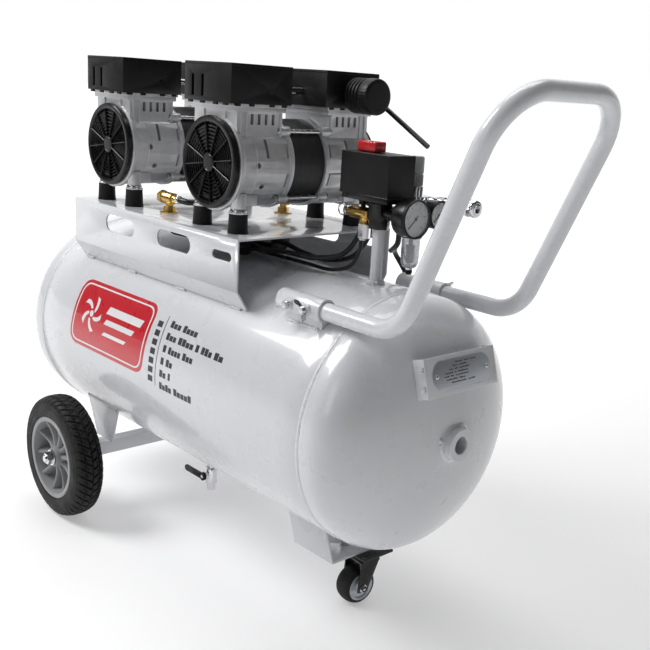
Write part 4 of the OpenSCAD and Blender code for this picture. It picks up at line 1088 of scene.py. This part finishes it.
# ------------------------------------------------------------------ pressure switch
refine("switch_cover", BLACK, bevel=2.0, segs=3)
sk = Build()
sk.box(196, 232, -17, 5, 671.4, 686, bev=2.4)
for i in range(5):
    sk.box(199.5 + i * 6.2, 202.0 + i * 6.2, -17.6 + 0.7, 4.9, 675, 686.0 - 0.05, bev=0.6)
sk.box(206.5, 221.5, -12.5, 0.5, 652, 673)
sk = sk.make("switch_knob_grip", RED, "red_knob", "red_knob", angle=36)
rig.replaces(sk, "switch_knob")
sg = Build()
for x in (184, 200):
    sg.lathe([(4.0, 594.2), (6.3, 594.2), (6.6, 595), (6.6, 598), (6.0, 598.4), (6.0, 599.2), (8.2, 599.6), (8.2, 606), (4, 606)], ax("+z", x, 14, 0), 10)
sg.lathe([(4.2, 582.1)] + [(5.1 + 0.07 * i + (0.35 if i % 2 else 0), 583 + i * 1.7) for i in range(11)] + [(7.2, 602.4), (7.4, 606), (4.2, 606)], ax("+z", 258, 14, 0), 32)
sg.make("cable_glands", BLACK, "frame", "black_cover", angle=36)
seam = Build()
seam.box(177.7, 273.3, -29.3, 22.3, 613.0, 614.6, bev=0.5)
seam.make("switch_cover_rim", ENAMEL, "frame", "black_cover", angle=36)

# safety valve's pull ring and stem
sr = Build()
M = ax("-x", 0, 0, 584)
sr.lathe([(0, -186), (2.15, -186), (2.15, -169.2), (6.2, -169), (6.8, -168.2), (6.8, -164.2), (6.2, -163.2), (3.0, -163), (2.2, -162.4), (2.2, -161.6), (0, -161.6)], M @ Matrix.Scale(-1, 4, (0, 0, 1)) @ Matrix.Scale(-1, 4, (0, 0, 1)), 40)
sr.lathe([(8 + 1.25 * math.cos(t * math.pi / 5), 1.25 * math.sin(t * math.pi / 5)) for t in range(10)], ax("+y", 155.4, 0, 584), 48)
sr = sr.make("relief_ring_pull", CHROME, "relief_ring", "steel", angle=36)
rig.replaces(sr, "safety_ring")
hx = Build()
hx.hexagon(ax("+z", 204, 0, 549.4), 15.8, 21, 1.0)
hx.lathe([(3.2, 546.6), (5.4, 546.6), (6.2, 549.6), (3.2, 549.6)], ax("+z", 203.6, -2.6, 0), 24)
hx.make("relief_fitting", CHROME, "frame", "chrome", angle=30)

# ------------------------------------------------------------------ gauges


def text_mesh(txt, size, M, depth=0.12):
    cu_ = bpy.data.curves.new("t", "FONT")
    cu_.body = txt
    cu_.size = size
    cu_.align_x = "CENTER"
    cu_.align_y = "CENTER"
    cu_.extrude = depth / 2
    cu_.resolution_u = 3
    o = bpy.data.objects.new("t", cu_)
    scene.collection.objects.link(o)
    bpy.context.view_layer.update()
    me = bpy.data.meshes.new_from_object(o.evaluated_get(bpy.context.evaluated_depsgraph_get()))
    vs = [(M @ v.co)[:] for v in me.vertices]
    fs = [list(p.vertices) for p in me.polygons]
    bpy.data.objects.remove(o)
    bpy.data.curves.remove(cu_)
    bpy.data.meshes.remove(me)
    return vs, fs


gb, dial, marks, lens, bez = Build(), Build(), Build(), Build(), Build()
for (gx, gy, gz_, rad, ln, top) in ((305, 0, 590, 26, 27, 10), (293, 60, 591, 20, 22, 12)):
    M = ax("+x", 0, gy, gz_)
    gb.lathe([(0.85, gx - ln - 8), (5, gx - ln - 8), (5, gx - ln - 0.6), (rad - 3, gx - ln), (rad - 0.8, gx - ln + 1), (rad, gx - ln + 3), (rad, gx - 6),
              (rad - 2, gx - 5.2), (rad - 2, gx - 5), (0.85, gx - 5)], M, 72)
    bez.lathe([(rad - 2.05, gx - 5), (rad - 0.2, gx - 5.6), (rad + 0.5, gx - 5), (rad + 0.8, gx - 4), (rad + 0.8, gx - 1.2), (rad + 0.2, gx - 0.2), (rad - 1.0, gx - 0.02),
               (rad - 1.8, gx - 0.3), (rad - 2.05, gx - 1.2)], M, 96)
    dial.lathe([(0.85, gx - 4.98), (rad - 2.1, gx - 4.98), (rad - 2.1, gx - 4.72), (0.85, gx - 4.72)], M, 72)
    lens.lathe([(0, gx - 1.9), (rad - 2.1, gx - 1.9), (rad - 2.1, gx - 1.3), (rad * 0.6, gx - 0.95), (0, gx - 0.8)], M, 72)
    ro = rad - 4.0
    for i in range(51):
        th = math.radians(270 * i / 50)
        d0 = Matrix.Rotation(-th, 4, "X") @ Vector((0, -math.sqrt(.5), -math.sqrt(.5)))
        t0 = Vector((1, 0, 0)).cross(d0)
        big = i % 5 == 0
        ri, w = (ro - (2.6 if big else 1.3)), (0.28 if big else 0.13)
        c0 = Vector((gx - 4.72, gy, gz_))
        vs = [(c0 + Vector((dx, 0, 0)) + d0 * rr + t0 * ww)[:] for dx in (0, 0.07) for rr, ww in ((ri, -w), (ro, -w), (ro, w), (ri, w))]
        marks.add(vs, [[0, 1, 2, 3], [7, 6, 5, 4], [0, 4, 5, 1], [1, 5, 6, 2], [2, 6, 7, 3], [3, 7, 4, 0]])
    for i in range(6):
        th = math.radians(54 * i)
        d0 = Matrix.Rotation(-th, 4, "X") @ Vector((0, -math.sqrt(.5), -math.sqrt(.5)))
        p = Vector((gx - 4.70, gy, gz_)) + d0 * (ro - (5.4 if rad > 22 else 4.4))
        T = Matrix(((0, 0, 1, p.x), (1, 0, 0, p.y), (0, 1, 0, p.z), (0, 0, 0, 1)))
        marks.add(*text_mesh(str(i * 2), 4.0 if rad > 22 else 3.0, T))
    for a0_, a1_, rr, w in ((0, 216, ro - 9.3, 0.25),):
        pts = []
        for j in range(37):
            th = math.radians(a0_ + (a1_ - a0_) * j / 36)
            d0 = Matrix.Rotation(-th, 4, "X") @ Vector((0, -math.sqrt(.5), -math.sqrt(.5)))
            pts.append(Vector((gx - 4.69, gy, gz_)) + d0 * rr)
        marks.tube(pts, w * 0.5, 6)
gb = gb.make("gauge_cases", GRILLE, "frame", "black_grille", angle=40)
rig.replaces(gb, "gauge_bodies")
bez.make("gauge_bezels", BLACK, "frame", "black_grille", angle=50)
dial.make("gauge_dials", DIAL, "frame", "white_paint", angle=36)
marks.make("gauge_marks", INK, "frame", "needle_black", angle=36)
lens.make("gauge_lenses", GLASS, "frame", "clear_bowl", angle=40)
for node in ("tank_needle", "outlet_needle"):
    me = N[node].data
    me.materials.clear()
    me.materials.append(INK)

# ------------------------------------------------------------------ regulator knob, bowl, coupler
kb = Build()


def ribs(n, z0_, z1_, depth):
    def fn(rr, h, a, i):
        if z0_ < h < z1_ and rr > 8:
            rr -= depth * (0.5 + 0.5 * math.cos(a * n)) ** 2
        return rr, h
    return fn


kb.lathe([(0, 626.4), (9.4, 626.4), (10.4, 627.4), (10.5, 629), (10.5, 632), (10.5, 636), (10.5, 640), (10.4, 642), (9.5, 642.6), (9.5, 643.8), (10.3, 644.4), (10.4, 646),
          (10.4, 653), (10.3, 660), (10.2, 665), (9.4, 667.4), (8.2, 668), (0, 668)], ax("+z", 240, 60, 0), 144, fn=ribs(24, 628, 641, 0.9))
kb.lathe([(0, 614), (3.95, 614), (3.95, 626.6), (0, 626.6)], ax("+z", 240, 60, 0), 32)
kb = kb.make("regulator_knob_grip", GREY, "pressure_knob", "grey_rim", angle=40)
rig.replaces(kb, "regulator_knob")
bw = Build()
bw.lathe([(12.0, 557.6), (13.3, 557.6), (13.4, 556), (13.4, 540), (13.3, 522), (12.6, 515), (10.6, 510.6), (8, 508.6), (5.2, 508), (4.9, 505), (0, 505), (0, 508.9), (4, 509.6), (8.6, 511.6), (10.9, 516), (11.7, 523), (11.9, 540)], ax("+z", 240, 60, 0), 72)
bw = bw.make("filter_bowl_clear", BOWL, "frame", "clear_bowl", angle=50)
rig.replaces(bw, "filter_bowl")
bt = Build()
bt.lathe([(13.5, 552.5), (15.2, 552.5), (15.4, 553.2), (15.4, 558.4), (15.0, 559.2), (13.5, 559.2)], ax("+z", 240, 60, 0), 60, fn=None)
bt.lathe([(0, 498.1), (3.4, 498.1), (4.2, 499), (4.2, 500.4), (5.2, 500.8), (5.2, 504.2), (3.2, 505), (0, 505)], ax("+z", 240, 60, 0), 30)
bt.make("bowl_collar", BLACK, "frame", "black_cover", angle=40)
el = Build()
el.lathe([(0, 516), (5.6, 516), (6.2, 517), (6.2, 540), (5.6, 541), (3, 541), (3, 552), (0, 552)], ax("+z", 240, 60, 0), 40)
el.make("filter_element", LABEL_WHITE, "frame", "white_paint", angle=40)
cs = Build()


def knur(rr, h, a, i):
    if 320.5 < h < 327.5 and rr > 11:
        rr -= 0.5 * (0.5 + 0.5 * math.cos(a * 40)) ** 2
    return rr, h


cs.lathe([(7.9, 315.1), (10.6, 315.1), (11.4, 315.8), (11.5, 316.6), (12.2, 317.1), (12.5, 317.8), (12.5, 319.4), (12.1, 320.1), (11.5, 320.6), (11.5, 322), (11.5, 324), (11.5, 326),
          (11.5, 327.4), (12.1, 327.9), (12.5, 328.6), (12.5, 330.4), (12.1, 331.1), (11.3, 332.6), (10.6, 332.95), (7.9, 332.95)], ax("+x", 0, 88, 604), 160, fn=knur)
cs = cs.make("coupler_sleeve_knurled", CHROME, "release_sleeve", "chrome", angle=40)
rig.replaces(cs, "coupler_sleeve")

# ------------------------------------------------------------------ data plate, weld blobs
P = Matrix.Translation((404, 2, 404)) @ Matrix.Rotation(math.radians(-17), 4, "Y")
rp = Build()
vs = []
n = 24
for x in (0.05, 0.65, 0.85):
    k = 1.0 if x < 0.8 else 0.988
    ring = [(P @ Vector((x, (38 + 20 * math.cos(math.radians(-90 + 180 * i / n))) * k, 20 * k * math.sin(math.radians(-90 + 180 * i / n)))))[:] for i in range(n + 1)]
    ring += [(P @ Vector((x, (-38 - 20 * math.cos(math.radians(-90 + 180 * i / n))) * k, -20 * k * math.sin(math.radians(-90 + 180 * i / n)))))[:] for i in range(n + 1)]
    vs += ring
c_ = 2 * (n + 1)
rp.add(vs, [list(range(c_))[::-1], [2 * c_ + i for i in range(c_)]] + [[a * c_ + i, a * c_ + (i + 1) % c_, (a + 1) * c_ + (i + 1) % c_, (a + 1) * c_ + i] for a in range(2) for i in range(c_)])
rp = rp.make("data_plate", PLATE, "frame", "rating_plate", angle=30)
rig.replaces(rp, "rating_plate")
rt = Build()
for i, (y0_, segs_) in enumerate(((-12, (14, 9, 12)), (-18, (9, 16)), (-26, (8, 6, 20)), (-34, (15, 4, 20)), (-36, (9, 6, 26)), (-33, (22, 12)), (-24, (30, 14)))):
    zz = 14.0 - i * 4.3
    y = y0_
    for w in segs_:
        k = max(1, int(w / 2.6))
        for j in range(k):
            hh = 1.9 if rnd.random() < 0.3 else 1.4
            rt.box(0.8, 0.93, y + j * w / k + 0.25, y + (j + 1) * w / k - 0.25, zz, zz + hh, M=P)
        y += w + 3.2
rt.make("data_plate_rows", INK, "frame", "needle_black", angle=36)
rv = Build()
for y in (-50, 50):
    rv.lathe([(0, 0.8), (3.0, 0.8), (2.8, 1.6), (1.8, 2.3), (0, 2.5)], P @ Matrix.Translation((0, y, 0)) @ ax("+x"), 24)
rv.make("data_plate_rivets", STEEL, "frame", "steel", angle=50)
bl = Build()
for y in (-71.0, 71.0):
    for z in (-14, 11):
        c0 = P @ Vector((-6.5, y, z))
        bl.ball(c0[:], 4.1, (1.0, 0.75, 1.05))
        bl.ball((c0.x + 1.2, c0.y, c0.z + 3.0), 2.6, (1, 0.8, 1))
    for z in (-25, 25):
        pts = [P @ Vector((-19.6 - i * 0.1, y * (0.2 + 0.8 * i / 16), z)) for i in range(0)]
bl.make("bracket_welds", WELD, "frame", "white_paint", angle=60)

lo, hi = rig.bounds()
with open("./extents.json", "w") as fh:
    json.dump({"cad": [list(CAD_LO), list(CAD_HI)], "visual": [list(lo), list(hi)], "cable_m": CABLE_LEN}, fh)
